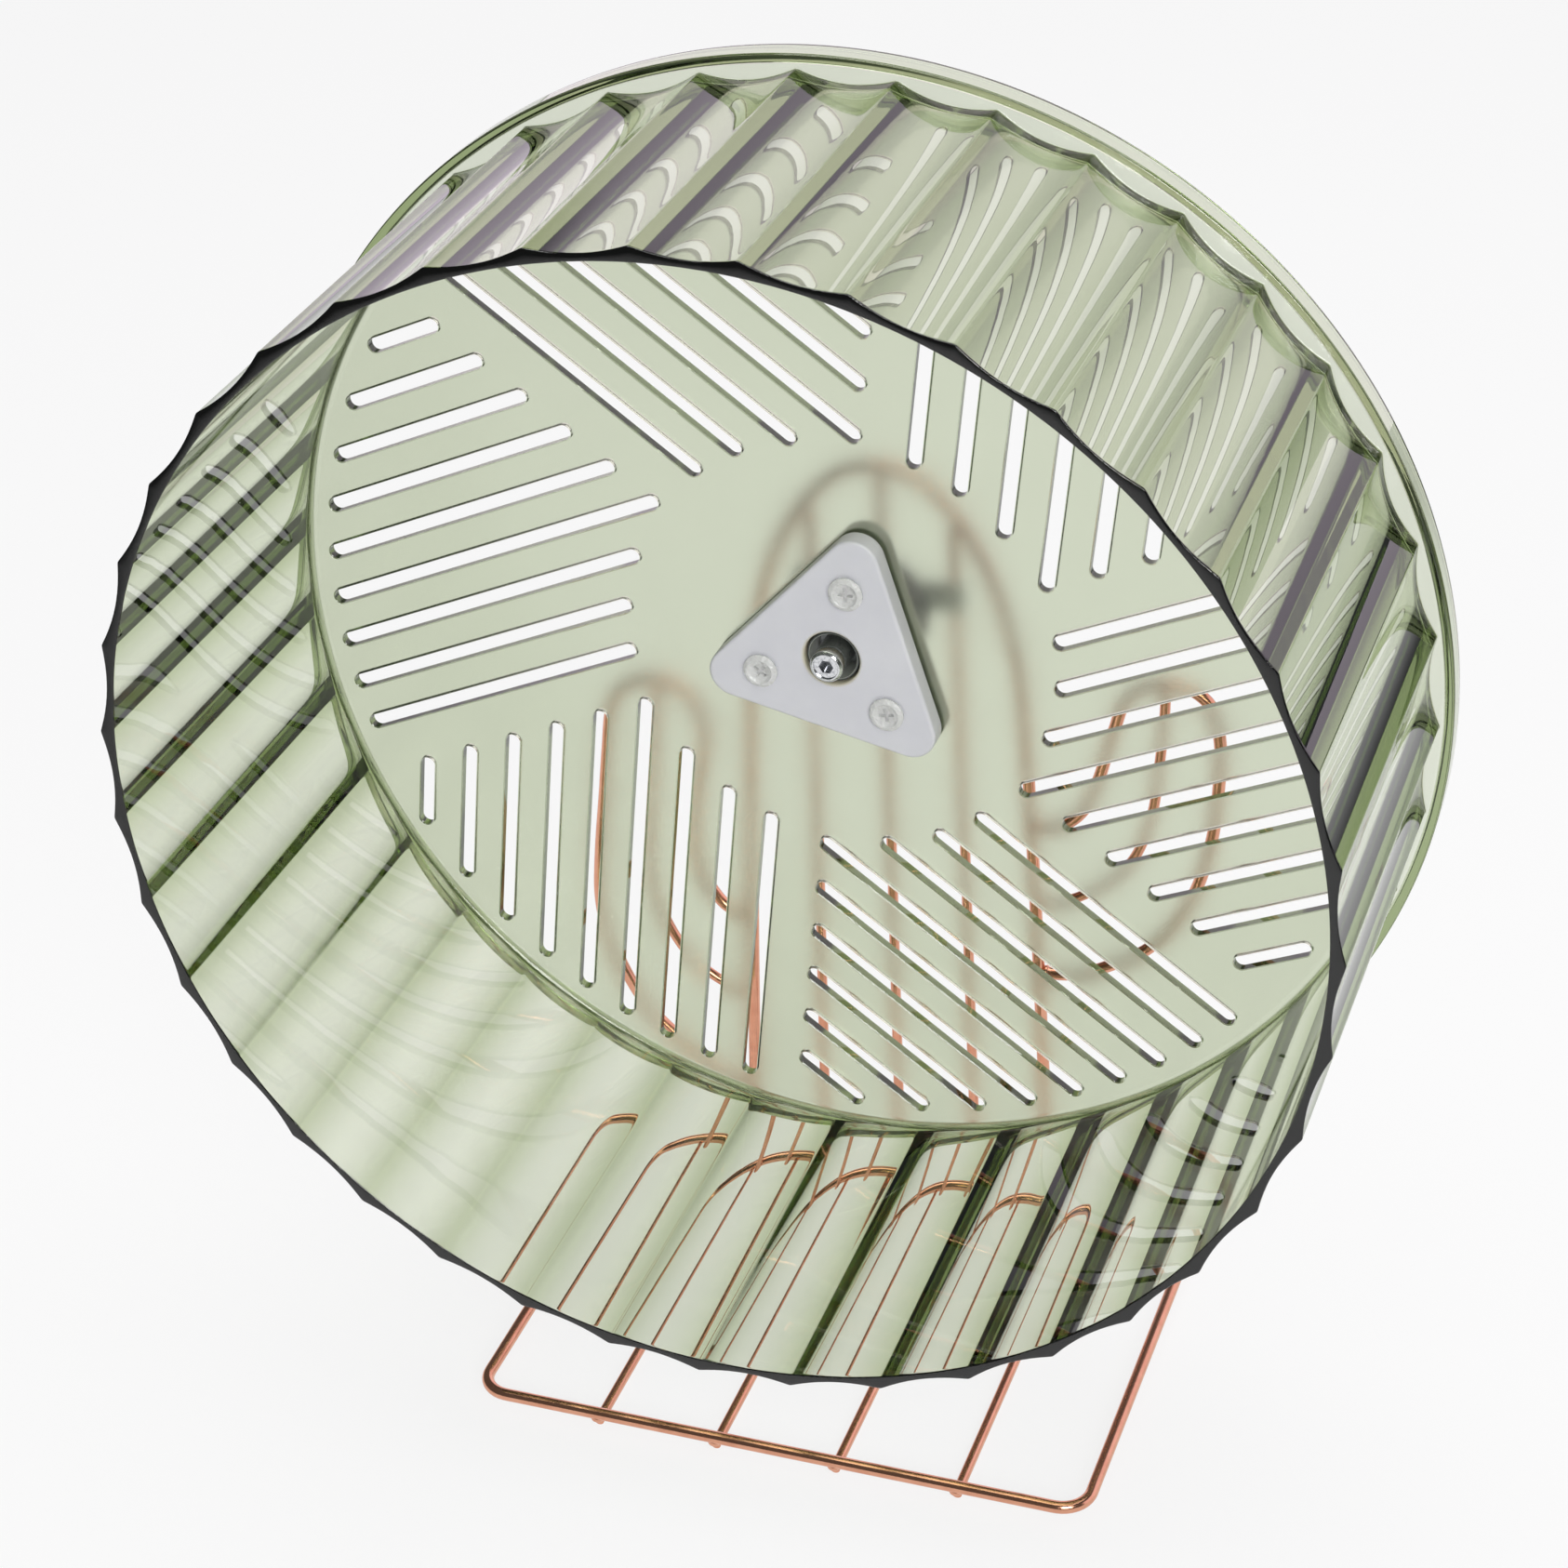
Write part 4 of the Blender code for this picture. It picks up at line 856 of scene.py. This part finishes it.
# Bearing housing: a dark polypropylene moulding behind the drum's back, a barrel
# with a three-cornered flange that the screws hold, and a thin nose that shows as
# a ring in the hub plate's hole.
HOUSING_FRONT = 0.0019
HOUSING_FLANGE = 0.0040
HOUSING_REAR = 0.0200
HOUSING_RADIUS = 0.01525
HOUSING_BORE = 0.01115
HOUSING_SHOULDER = 0.0030
HOUSING_SIDES = 96
HOUSING_EDGE = 0.0003
NOSE_FRONT = -0.0050
NOSE_RADIUS = 0.0061
NOSE_BORE = 0.0056
NOSE_EDGE = 0.00015
SHOULDER_EDGE = 0.0002
DARK_HEX = "343837"
DARK_CLOUD_HEX = "3E4341"
# Paler colours painted on the flange and in the nose bore: painted light for the satin back's veil
# of scattered light, and a painted reflection in the bore
PAINTED_LIGHT_HEX = "9C9F97"
PAINTED_LIGHT_CLOUD_HEX = "A7AAA2"
# Where the flange's painted light ends to the rear, where it starts outwards, and the nose bore's
# skin that takes a painted reflection
PAINTED_LIGHT_REAR = (0.0060, 0.0061)
PAINTED_LIGHT_START = (0.0070, 0.0080)
PAINTED_REFLECTION_BORE = (NOSE_BORE + 0.00010, NOSE_BORE + 0.00016)
DARK_ROUGHNESS = (0.14, 0.24)
# Flow clouds of 8 mm, spark-eroded grain of 0.4 mm
DARK_CLOUD_WAVES = 120.0
SPARK_WAVES = 2600.0
SPARK_HEIGHT = 0.00002


def dark_plastic():
    """Dark polypropylene: a spark-eroded grain dulls it; the flange is painted paler as painted
    light, and the nose bore's skin as a painted reflection.
    """
    material, tree = new_material("dark_plastic")
    place = object_from_axle(tree)
    depth = add_node(tree, "ShaderNodeSeparateXYZ", {0: place}).outputs["Y"]
    reach = reach_from_axle(tree, place)
    # The nose bore's skin is painted paler, a painted reflection of its glossy inside wall
    before_rear, past_start, painted_reflection_in_bore = [
        add_node(tree, RANGE, {
            "Value": value, "From Min": low, "From Max": high,
            "To Min": first, "To Max": 1 - first})
        for value, (low, high), first in (
            (depth, PAINTED_LIGHT_REAR, 1.0), (reach, PAINTED_LIGHT_START, 0.0), (reach, PAINTED_REFLECTION_BORE, 1.0))]
    # Painted light on the flange, joined by the painted reflection in the bore
    painted_light_on_flange = add_node(tree, MATHS, {0: before_rear, 1: past_start}, operation="MULTIPLY")
    painted_light_part = add_node(tree, MATHS, {0: painted_light_on_flange, 1: painted_reflection_in_bore}, operation="MAXIMUM")
    cloud = mottle(tree, place, DARK_CLOUD_WAVES, 0.0, 1.0)
    dark, pale = [
        add_node(tree, MIX, {"Factor": cloud, 6: colour(first), 7: colour(second)},
                 data_type="RGBA").outputs[2]
        for first, second in ((DARK_HEX, DARK_CLOUD_HEX), (PAINTED_LIGHT_HEX, PAINTED_LIGHT_CLOUD_HEX))]
    tint = add_node(tree, MIX, {"Factor": painted_light_part, 6: dark, 7: pale}, data_type="RGBA").outputs[2]
    grain = add_node(tree, NOISE, {"Vector": place, "Scale": SPARK_WAVES, "Detail": 3.0})
    finish_material(tree, grain, SPARK_HEIGHT, {
        "Base Color": tint, "IOR": PLASTIC_IOR,
        "Roughness": mottle(tree, place, SPARK_WAVES, *DARK_ROUGHNESS)})
    return material


def rounded_profile(corners):
    """A turned profile whose corners are eased; a corner is a radius, a depth and an ease."""
    points = []
    for index, (radius, depth, ease) in enumerate(corners):
        if ease == 0.0:
            points.append((radius, depth))
            continue
        here = Vector((radius, depth))
        before = (Vector(corners[index - 1][:2]) - here).normalized()
        after = (Vector(corners[(index + 1) % len(corners)][:2]) - here).normalized()
        start = here + before * ease
        end = here + after * ease
        for step in range(EDGE_STEPS + 1):
            share = step / EDGE_STEPS
            mixed = start * (1 - share) ** 2 + here * 2 * share * (1 - share) + end * share ** 2
            points.append((mixed.x, mixed.y))
    return points


def housing_mesh():
    """Flange, barrel and nose in one moulding."""
    bm = bmesh.new()
    flange_rear = HOUSING_FRONT + HOUSING_FLANGE
    edge = HOUSING_EDGE
    profile = rounded_profile([
        (NOSE_RADIUS, HOUSING_FRONT, 0.0), (NOSE_RADIUS, NOSE_FRONT, NOSE_EDGE),
        (NOSE_BORE, NOSE_FRONT, NOSE_EDGE), (NOSE_BORE, HOUSING_SHOULDER, SHOULDER_EDGE),
        (HOUSING_BORE, HOUSING_SHOULDER, 0.0), (HOUSING_BORE, HOUSING_REAR, edge),
        (HOUSING_RADIUS, HOUSING_REAR, edge), (HOUSING_RADIUS, flange_rear, 0.0),
    ])
    slab(bm, [
        (triangle_outline, wall(HOUSING_FRONT, flange_rear, edge, edge)),
        (round_hole(0.0, HOUSING_SIDES), [(depth, radius) for radius, depth in profile]),
    ] + screw_holes(HOUSING_FRONT, flange_rear))
    return to_mesh(bm, "bearing_housing", MOULDED_CREASE)


finished("bearing_housing_dark", housing_mesh(), dark_plastic(), "wheel", "dark_plastic",
         "bearing_housing")

# Axle: a fixed bright steel pin, turned with a chamfered end, a groove for its
# clip and a collar before the strap, and with a hex socket broached in its front.
AXLE_RADIUS = 0.00385
AXLE_FRONT = -0.0104
AXLE_CHAMFER = 0.0006
AXLE_RIM = 0.0004
AXLE_RECESS = 0.0004
AXLE_EASE = 0.0001
AXLE_GROOVE = 0.00315
GROOVE_FRONT = 0.0019
GROOVE_REAR = 0.0030
COLLAR_FRONT = 0.0196
COLLAR_REAR = 0.0283
COLLAR_RADIUS = 0.0058
COLLAR_EASE = 0.0003
AXLE_REAR = 0.0306
TAIL_EASE = 0.0002
HEX_CORNER = 0.001732
HEX_DEPTH = 0.0040
TURNED_CREASE = 40.0
AXLE_HEX = "D9DADD"
AXLE_ROUGHNESS = 0.10
STEEL_MARK_HEX = "A9ABAF"
STEEL_SWING = 0.08
# Turning lines 0.1 mm apart, faint marks of 0.7 mm
TURNING_WAVES = 9000.0
TURNING_HEIGHT = 0.000002
MARK_WAVES = 1400.0
MARK_SPAN = (0.45, 0.75)


def steel(name, tint_hex, roughness):
    """Bright steel: turning lines draw its shine into rings, and faint marks darken it."""
    material, tree = new_material(name)
    place = object_from_axle(tree)
    depth = add_node(tree, "ShaderNodeSeparateXYZ", {0: place}).outputs["Y"]
    rings = add_node(tree, "ShaderNodeCombineXYZ", {"X": reach_from_axle(tree, place), "Y": depth})
    lines = add_node(tree, NOISE, {"Vector": rings, "Scale": TURNING_WAVES, "Detail": 2.0})
    tint = add_node(tree, MIX, {
        "Factor": mottle(tree, place, MARK_WAVES, 0.0, 1.0, span=MARK_SPAN),
        6: colour(tint_hex), 7: colour(STEEL_MARK_HEX)}, data_type="RGBA").outputs[2]
    gloss = mottle(tree, rings, TURNING_WAVES, roughness, roughness + STEEL_SWING, detail=2.0)
    finish_material(tree, lines, TURNING_HEIGHT, {
        "Base Color": tint, "Metallic": 1.0, "Roughness": gloss})
    return material


def turned_mesh(name, profile, sides=BORE_SIDES):
    """A turned form, made about the origin's line and moved to the axle."""
    bm = bmesh.new()
    lathe(bm, profile, sides)
    bmesh.ops.remove_doubles(bm, verts=bm.verts, dist=1e-7)
    bmesh.ops.translate(bm, verts=bm.verts, vec=(0.0, AXLE_Y, AXLE_Z))
    return to_mesh(bm, name, TURNED_CREASE)


def axle_mesh():
    """The whole axle; its end has a rim round a sunk face."""
    tip = AXLE_RADIUS - AXLE_CHAMFER
    sunk = tip - AXLE_RIM
    corners = [
        (sunk, AXLE_FRONT + AXLE_RECESS, 0.0), (sunk, AXLE_FRONT, AXLE_EASE),
        (tip, AXLE_FRONT, AXLE_EASE), (AXLE_RADIUS, AXLE_FRONT + AXLE_CHAMFER, AXLE_EASE),
        (AXLE_RADIUS, GROOVE_FRONT, 0.0), (AXLE_GROOVE, GROOVE_FRONT, 0.0),
        (AXLE_GROOVE, GROOVE_REAR, 0.0), (AXLE_RADIUS, GROOVE_REAR, 0.0),
        (AXLE_RADIUS, COLLAR_FRONT, 0.0), (COLLAR_RADIUS, COLLAR_FRONT, COLLAR_EASE),
        (COLLAR_RADIUS, COLLAR_REAR, COLLAR_EASE), (AXLE_RADIUS, COLLAR_REAR, 0.0),
        (AXLE_RADIUS, AXLE_REAR, TAIL_EASE),
    ]
    return turned_mesh("axle", [
        (0.0, AXLE_FRONT + AXLE_RECESS), *rounded_profile(corners), (0.0, AXLE_REAR)])


def hex_cutter():
    """Six-sided rod with a drilled point that sinks the socket."""
    return turned_mesh("hex_cutter", [
        (0.0, AXLE_FRONT - AXLE_RECESS), (HEX_CORNER, AXLE_FRONT - AXLE_RECESS),
        (HEX_CORNER, AXLE_FRONT + HEX_DEPTH), (0.0, AXLE_FRONT + HEX_DEPTH + AXLE_RECESS)], 6)


axle = finished("axle_turned", carved(axle_mesh(), hex_cutter()),
                steel("polished_axle_steel", AXLE_HEX, AXLE_ROUGHNESS), "stand", "axle_steel",
                "axle")
sharpen(axle.data, TURNED_CREASE)

# Ball bearings: two small deep-groove bearings on the axle. Ground steel rings
# with a ball groove each, closed by a thin pressed shield on either side.
BEARING_WIDTH = 0.0070
BEARING_FRONTS = (("front", 0.00315), ("rear", 0.01245))
RING_BORE = 0.0040
INNER_LAND = 0.0060
OUTER_LAND = 0.0090
BEARING_RADIUS = 0.0110
GROOVE_RADIUS = 0.002135
GROOVE_STEPS = 4
RING_EDGE = 0.0002
SHIELD_INSET = 0.0002
SHIELD_THICKNESS = 0.0003
SHIELD_EDGE = 0.000075
SHIELD_GAP = 0.00015
STEEL_HEX = "CACBCE"
BEARING_ROUGHNESS = 0.16


def race(land, side, front):
    """Ball groove of a bearing ring, side +1 on an inner ring and -1 on an outer one."""
    half_space = (OUTER_LAND - INNER_LAND) / 2
    half_width = math.sqrt(GROOVE_RADIUS ** 2 - half_space ** 2)
    corners = []
    for step in range(-GROOVE_STEPS, GROOVE_STEPS + 1):
        along = half_width * step / GROOVE_STEPS
        dip = math.sqrt(GROOVE_RADIUS ** 2 - along ** 2) - half_space
        corners.append((land - side * dip, front + BEARING_WIDTH / 2 + along, 0.0))
    return corners


def bearing_parts(front):
    """Each ring and shield of a bearing: its name, its body and its profile's corners."""
    rear = front + BEARING_WIDTH
    parts = []
    for part, body, back, land, side in (("inner_ring", "stand", RING_BORE, INNER_LAND, 1),
                                         ("outer_ring", "wheel", BEARING_RADIUS, OUTER_LAND, -1)):
        parts.append((part, body, [
            (back, rear, RING_EDGE), (back, front, RING_EDGE), (land, front, 0.0),
            *race(land, side, front), (land, rear, 0.0)]))
    inside = INNER_LAND + SHIELD_GAP
    outside = OUTER_LAND - SHIELD_GAP
    starts = (front + SHIELD_INSET, rear - SHIELD_INSET - SHIELD_THICKNESS)
    for number, start in enumerate(starts, start=1):
        end = start + SHIELD_THICKNESS
        parts.append(("shield_%d" % number, "wheel", [
            (inside, start, SHIELD_EDGE), (outside, start, SHIELD_EDGE),
            (outside, end, SHIELD_EDGE), (inside, end, SHIELD_EDGE)]))
    return parts


bearing_steel = steel("bearing_steel", STEEL_HEX, BEARING_ROUGHNESS)
for label, bearing_front in BEARING_FRONTS:
    for part, body, corners in bearing_parts(bearing_front):
        outline = rounded_profile(corners)
        finished("%s_bearing_%s" % (label, part),
                 turned_mesh("%s_%s" % (label, part), outline + outline[:1]),
                 bearing_steel, body, "bearing_steel", "%s_%s" % (label, part))

# Strap: a steel bar with a round eye, welded across the three body wires, with
# the axle's tail riveted through the eye.
STRAP_FRONT = 0.0286
STRAP_REAR = 0.0306
STRAP_REACH = 0.0205
STRAP_HALF_HEIGHT = 0.0035
STRAP_CORNER = 0.0008
STRAP_CORNER_STEPS = 6
STRAP_EDGE = 0.0003
STRAP_EYE = 0.0090
STRAP_EYE_STEPS = 24
STRAP_BORE = 0.0040
STRAP_BORE_SIDES = 48
STRAP_BORE_EDGE = 0.0001
ZINC_HEX = "E0E2E2"
ZINC_ROUGHNESS = 0.58


def strap_outline(inset):
    """Outline of the strap: a bar that widens into the eye."""
    eye = STRAP_EYE - inset
    half_height = STRAP_HALF_HEIGHT - inset
    middle = STRAP_REACH - inset - STRAP_CORNER
    lift = half_height - STRAP_CORNER
    angle = math.degrees(math.asin(half_height / eye))
    half = arc((middle, -lift), STRAP_CORNER, -90, 0, STRAP_CORNER_STEPS)
    half += arc((middle, lift), STRAP_CORNER, 0, 90, STRAP_CORNER_STEPS)
    half += arc((0.0, 0.0), eye, angle, 180 - angle, STRAP_EYE_STEPS)
    return half + [(-across, -height) for across, height in half]


def strap_mesh():
    """The strap with its eye."""
    bm = bmesh.new()
    slab(bm, [
        (strap_outline, wall(STRAP_FRONT, STRAP_REAR, STRAP_EDGE, STRAP_EDGE)),
        (round_hole(STRAP_BORE, STRAP_BORE_SIDES),
         wall(STRAP_FRONT, STRAP_REAR, STRAP_BORE_EDGE, STRAP_BORE_EDGE)),
    ])
    return to_mesh(bm, "axle_bracket", MOULDED_CREASE)


finished("axle_strap", strap_mesh(), steel("zinc_plated_steel", ZINC_HEX, ZINC_ROUGHNESS),
         "stand", "axle_steel", "axle_bracket")

# Wire stand: drawn steel wire, bent cold, spot welded where wires meet, then
# plated rose gold. The body and arms stand behind the drum on a closed base.
WIRE_RADIUS = 0.0015
THIN_RADIUS = 0.00125
WIRE_SIDES = 20
WIRE_STEP = 0.0012
WIRE_CREASE = 50.0
BEND_RESOLUTION = 24
OUTER_DEPTH = 0.0319
INNER_DEPTH = 0.03215
FRAME_Z = 0.004257
FOOT_Z = 0.00125
BASE_FRONT = -0.0383
BASE_REAR = 0.06458
BASE_SIDE = 0.075
BASE_CORNER = 0.007
BASE_CORNER_STEPS = 6
BASE_SIDE_STEPS = 40
BASE_WIRES = 4
BASE_PITCH = 0.02965
FRONT_STOP = 0.0009
BASE_OVERHANG = 0.0015
ROSE_HEX = "DDA387"
ROSE_DEEP_HEX = "D3977B"
ROSE_SPAN = (0.35, 0.7)
ROSE_SUM_SPAN = (0.7, 1.3)
ROSE_ROUGHNESS = (0.10, 0.20)
# Soft spots in the plating of 4 mm, draw marks of 0.3 mm
SPOT_WAVES = 260.0
DRAW_WAVES = 3200.0
DRAW_HEIGHT = 0.000004
SPOT_SHARE = 2.0
# Bent wires as millimetres across and above the axle
ARCH_MM = (
    (-39.5, -178.26), (-36.74, -99.95), (-34.05, -39.98), (-32.63, -19.98), (-30.61, -9.99),
    (-27.89, 0.01), (-23.7, 10.01), (-17.3, 20.0), (-9.6, 27.5), (0.0, 30.0),
)
LEFT_ARM_MM = (
    (-40.33, -148.54), (-42.0, -148.54), (-47.6, -146.23), (-54.8, -142.07), (-62.4, -135.72),
    (-68.0, -129.13), (-72.4, -120.7), (-76.2, -110.31), (-77.6, -99.33), (-76.52, -85.47),
    (-74.2, -68.15), (-72.48, -54.87), (-70.8, -44.47), (-66.8, -36.96), (-58.0, -33.5),
    (-49.6, -37.2), (-46.2, -45.63), (-47.4, -55.44), (-49.4, -66.42), (-50.52, -78.54),
    (-49.0, -88.36), (-44.8, -95.29), (-41.2, -97.49), (-38.49, -97.49),
)
LEFT_INNER_MM = (
    (-58.4, -35.67), (-58.4, -41.58), (-60.6, -60.99), (-62.2, -76.0), (-62.88, -87.78),
    (-62.0, -97.6), (-58.8, -106.5), (-54.0, -113.77), (-47.6, -118.74), (-42.4, -120.82),
    (-39.33, -120.82),
)
RIGHT_ARM_MM = (
    (38.64, -101.42), (41.72, -101.42), (46.56, -100.48), (52.28, -97.84), (61.52, -91.98),
    (66.8, -86.54), (71.68, -78.98), (75.69, -69.62), (78.59, -56.88), (79.78, -44.04),
    (79.91, -30.95), (76.92, -20.75), (67.5, -16.5), (58.66, -21.18), (54.92, -31.38),
    (51.62, -44.12), (48.32, -53.05), (43.92, -58.15), (39.52, -59.59), (36.86, -59.59),
)
RIGHT_INNER_MM = (
    (66.8, -18.92), (66.8, -25.0), (65.83, -38.0), (64.29, -52.03), (60.42, -64.61),
    (54.48, -72.26), (46.56, -78.55), (40.84, -80.68), (37.77, -80.68),
)
BODY_WIRES_MM = (
    ("body_wire_left", ((-17.2, 15.46), (-20.2, -178.26))),
    ("body_wire_middle", ((0.0, 28.04), (0.0, -178.26))),
    ("body_wire_right", ((17.2, 15.46), (20.2, -178.26))),
)


def rose_gold():
    """Rose-gold plating on drawn steel wire: a warm shine with faint draw marks and spots."""
    material, tree = new_material("rose_gold_plated_wire")
    place = add_node(tree, "ShaderNodeTexCoord").outputs["Object"]
    spots = add_node(tree, NOISE, {"Vector": place, "Scale": SPOT_WAVES, "Detail": 3.0})
    marks = add_node(tree, NOISE, {"Vector": place, "Scale": DRAW_WAVES, "Detail": 2.0})
    tint = add_node(tree, MIX, {
        "Factor": mottle(tree, place, SPOT_WAVES, 0.0, 1.0, span=ROSE_SPAN),
        6: colour(ROSE_HEX), 7: colour(ROSE_DEEP_HEX)}, data_type="RGBA").outputs[2]
    both = add_node(tree, MATHS, {0: spots, 1: marks}, operation="ADD")
    roughness = add_node(tree, RANGE, {
        "Value": both, "From Min": ROSE_SUM_SPAN[0], "From Max": ROSE_SUM_SPAN[1],
        "To Min": ROSE_ROUGHNESS[0], "To Max": ROSE_ROUGHNESS[1]})
    height = add_node(tree, MATHS, {0: spots, 1: SPOT_SHARE, 2: marks}, operation="MULTIPLY_ADD")
    finish_material(tree, height, DRAW_HEIGHT, {
        "Base Color": tint, "Metallic": 1.0, "Roughness": roughness})
    return material


def wire_rule():
    """Geometry nodes that draw round wire along joined points with smooth bends."""
    tree, given = start_rule("wire_rule", (
        ("Wire radius", "Float"), ("Wire sides", "Int"), ("Ring spacing", "Float")))
    line = add_node(tree, "GeometryNodeMeshToCurve", {"Mesh": given["Geometry"]})
    bent = add_node(tree, "GeometryNodeCurveSplineType", {"Curve": line},
                    spline_type="CATMULL_ROM")
    finer = add_node(tree, "GeometryNodeSetSplineResolution", {
        "Geometry": bent, "Resolution": BEND_RESOLUTION})
    even = add_node(tree, "GeometryNodeResampleCurve", {
        "Curve": finer, "Length": given["Ring spacing"]}, mode="LENGTH")
    section = add_node(tree, "GeometryNodeCurvePrimitiveCircle", {
        "Resolution": given["Wire sides"], "Radius": given["Wire radius"]})
    tube = add_node(tree, "GeometryNodeCurveToMesh", {
        "Curve": even, "Profile Curve": section, "Fill Caps": True})
    smooth = add_node(tree, "GeometryNodeSetShadeSmooth", {"Geometry": tube})
    return end_rule(tree, smooth, given["Material"])


def wire(name, routes, radius, *nodes, closed=False):
    """A piece of one or more bent wires through points in the room."""
    places = []
    joins = []
    for points in routes:
        first = len(places)
        places += points
        joins += [(index - 1, index) for index in range(first + 1, len(places))]
        if closed:
            joins.append((len(places) - 1, first))
    mesh = bpy.data.meshes.new(name)
    mesh.from_pydata(places, joins, [])
    piece = grow(name, mesh, drawn_wire, {
        "Wire radius": radius, "Wire sides": WIRE_SIDES, "Ring spacing": WIRE_STEP,
        "Material": rose_gold_plated,
    })
    sharpen(piece.data, WIRE_CREASE)
    settle(piece, "stand", "rose_gold_wire", *nodes)


def upright(points_mm, depth):
    """Room points of places in the plane behind the drum."""
    return [(across / 1000, AXLE_Y + depth, AXLE_Z + height / 1000)
            for across, height in points_mm]


def base_loop():
    """Points of the closed base wire, evenly close together so that its bends stay true."""
    inset = BASE_SIDE - BASE_CORNER
    rear = BASE_REAR - BASE_CORNER
    front = BASE_FRONT + BASE_CORNER
    corners = ((inset, rear), (-inset, rear), (-inset, front), (inset, front))
    bends = []
    for quarter, corner in enumerate(corners):
        bend = arc(corner, BASE_CORNER, 90 * quarter, 90 * quarter + 90, BASE_CORNER_STEPS)
        bends.append([Vector((across, depth, FRAME_Z)) for across, depth in bend])
    points = []
    for quarter, bend in enumerate(bends):
        points += bend
        ahead = bends[(quarter + 1) % 4][0]
        points += [bend[-1].lerp(ahead, step / BASE_SIDE_STEPS)
                   for step in range(1, BASE_SIDE_STEPS)]
    return [tuple(point) for point in points]


def base_wire_places():
    """How far across each of the base's thin wires lies."""
    return [(index - (BASE_WIRES - 1) / 2) * BASE_PITCH for index in range(BASE_WIRES)]


rose_gold_plated = rose_gold()
drawn_wire = wire_rule()
wire("base_frame_wire", [base_loop()], WIRE_RADIUS, "base_frame", closed=True)
wire("base_cross_wires", [
    [(across, BASE_FRONT + FRONT_STOP, FOOT_Z), (across, BASE_REAR + BASE_OVERHANG, FOOT_Z)]
    for across in base_wire_places()
], THIN_RADIUS, "base_wire_1", "base_wire_2", "base_wire_3", "base_wire_4")
arch = ARCH_MM + tuple((-across, height) for across, height in reversed(ARCH_MM[:-1]))
wire("body_arch_wire", [upright(arch, OUTER_DEPTH)], WIRE_RADIUS, "body_arch")
for name, points in BODY_WIRES_MM:
    wire(name + "_drawn", [upright(points, INNER_DEPTH)], THIN_RADIUS, name)
for arm, outer, inner in (("left_arm", LEFT_ARM_MM, LEFT_INNER_MM),
                          ("right_arm", RIGHT_ARM_MM, RIGHT_INNER_MM)):
    wire(arm + "_outer", [upright(outer, OUTER_DEPTH)], WIRE_RADIUS, arm + "_wire")
    wire(arm + "_inner", [upright(inner, INNER_DEPTH)], THIN_RADIUS, arm + "_inner_wire")

# Weld beads: small plated nuggets that spot welding leaves where wires meet
# wires and the strap. They are of the wires' own steel, under the same plating.
NUGGET_CREASE = 180.0
# Half sizes of a bead across, in depth and in height, by the joint that it closes
BASE_BEAD = (0.0016, 0.0012, 0.0011)
ARCH_FOOT_BEAD = (0.0018, 0.0012, 0.0018)
BODY_FOOT_BEAD = (0.0016, 0.0012, 0.0016)
ARM_END_BEAD = (0.0011, 0.0019, 0.0019)
INNER_END_BEAD = (0.0011, 0.0016, 0.0016)
WIRE_TOP_BEAD = (0.0016, 0.0016, 0.0011)
STRAP_BEAD = (0.0014, 0.0007, 0.0030)
STRAP_BEAD_REACH = 0.0175
REAR_WIRE_DEPTH = 0.0352


def nugget_mesh():
    """One low bead of a few dozen faces."""
    bm = bmesh.new()
    bmesh.ops.create_icosphere(bm, subdivisions=2, radius=1.0)
    return to_mesh(bm, "nugget", NUGGET_CREASE)


def weld_beads():
    """Places of the beads with their half sizes."""
    low = (FOOT_Z + FRAME_Z) / 2
    beads = [((across, depth, low), BASE_BEAD)
             for across in base_wire_places() for depth in (BASE_FRONT, BASE_REAR)]
    behind = AXLE_Y + (OUTER_DEPTH + REAR_WIRE_DEPTH) / 2
    foot = ARCH_MM[0][0] / 1000
    beads += [((across, behind, FRAME_Z), ARCH_FOOT_BEAD) for across in (foot, -foot)]
    beads += [((points[-1][0] / 1000, behind, FRAME_Z), BODY_FOOT_BEAD)
              for _, points in BODY_WIRES_MM]
    for route in (LEFT_ARM_MM, RIGHT_ARM_MM):
        ends = upright((route[0], route[-1]), OUTER_DEPTH)
        beads += [(place, ARM_END_BEAD) for place in ends]
    for route in (LEFT_INNER_MM, RIGHT_INNER_MM):
        top, end = upright((route[0], route[-1]), INNER_DEPTH)
        beads += [(end, INNER_END_BEAD), (top, WIRE_TOP_BEAD)]
    tops = upright([points[0] for _, points in BODY_WIRES_MM], INNER_DEPTH)
    beads += [(place, WIRE_TOP_BEAD) for place in tops]
    depth = AXLE_Y + (STRAP_REAR + INNER_DEPTH - THIN_RADIUS) / 2
    beads += [((across, depth, AXLE_Z), STRAP_BEAD)
              for across in (-STRAP_BEAD_REACH, STRAP_BEAD_REACH)]
    return beads


nuggets = scatter("weld_nuggets", nugget_mesh(), [place for place, _ in weld_beads()],
                  [size for _, size in weld_beads()], rose_gold_plated)
nuggets.data.shade_smooth()
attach(nuggets, "stand")

# Clip, sleeve, cages and balls: steel pieces that the housing and the shields
# hide. They keep the CAD's own shapes and are of the bearings' ground steel.
BALLS_PER_BEARING = 7

hidden = ["axle_clip", "bearing_spacer", "front_cage", "rear_cage"]
hidden += ["%s_ball_%d" % (label, number) for label, _ in BEARING_FRONTS
           for number in range(1, BALLS_PER_BEARING + 1)]
for name in hidden:
    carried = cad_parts[name]
    carried.data.materials.clear()
    carried.data.materials.append(bearing_steel)
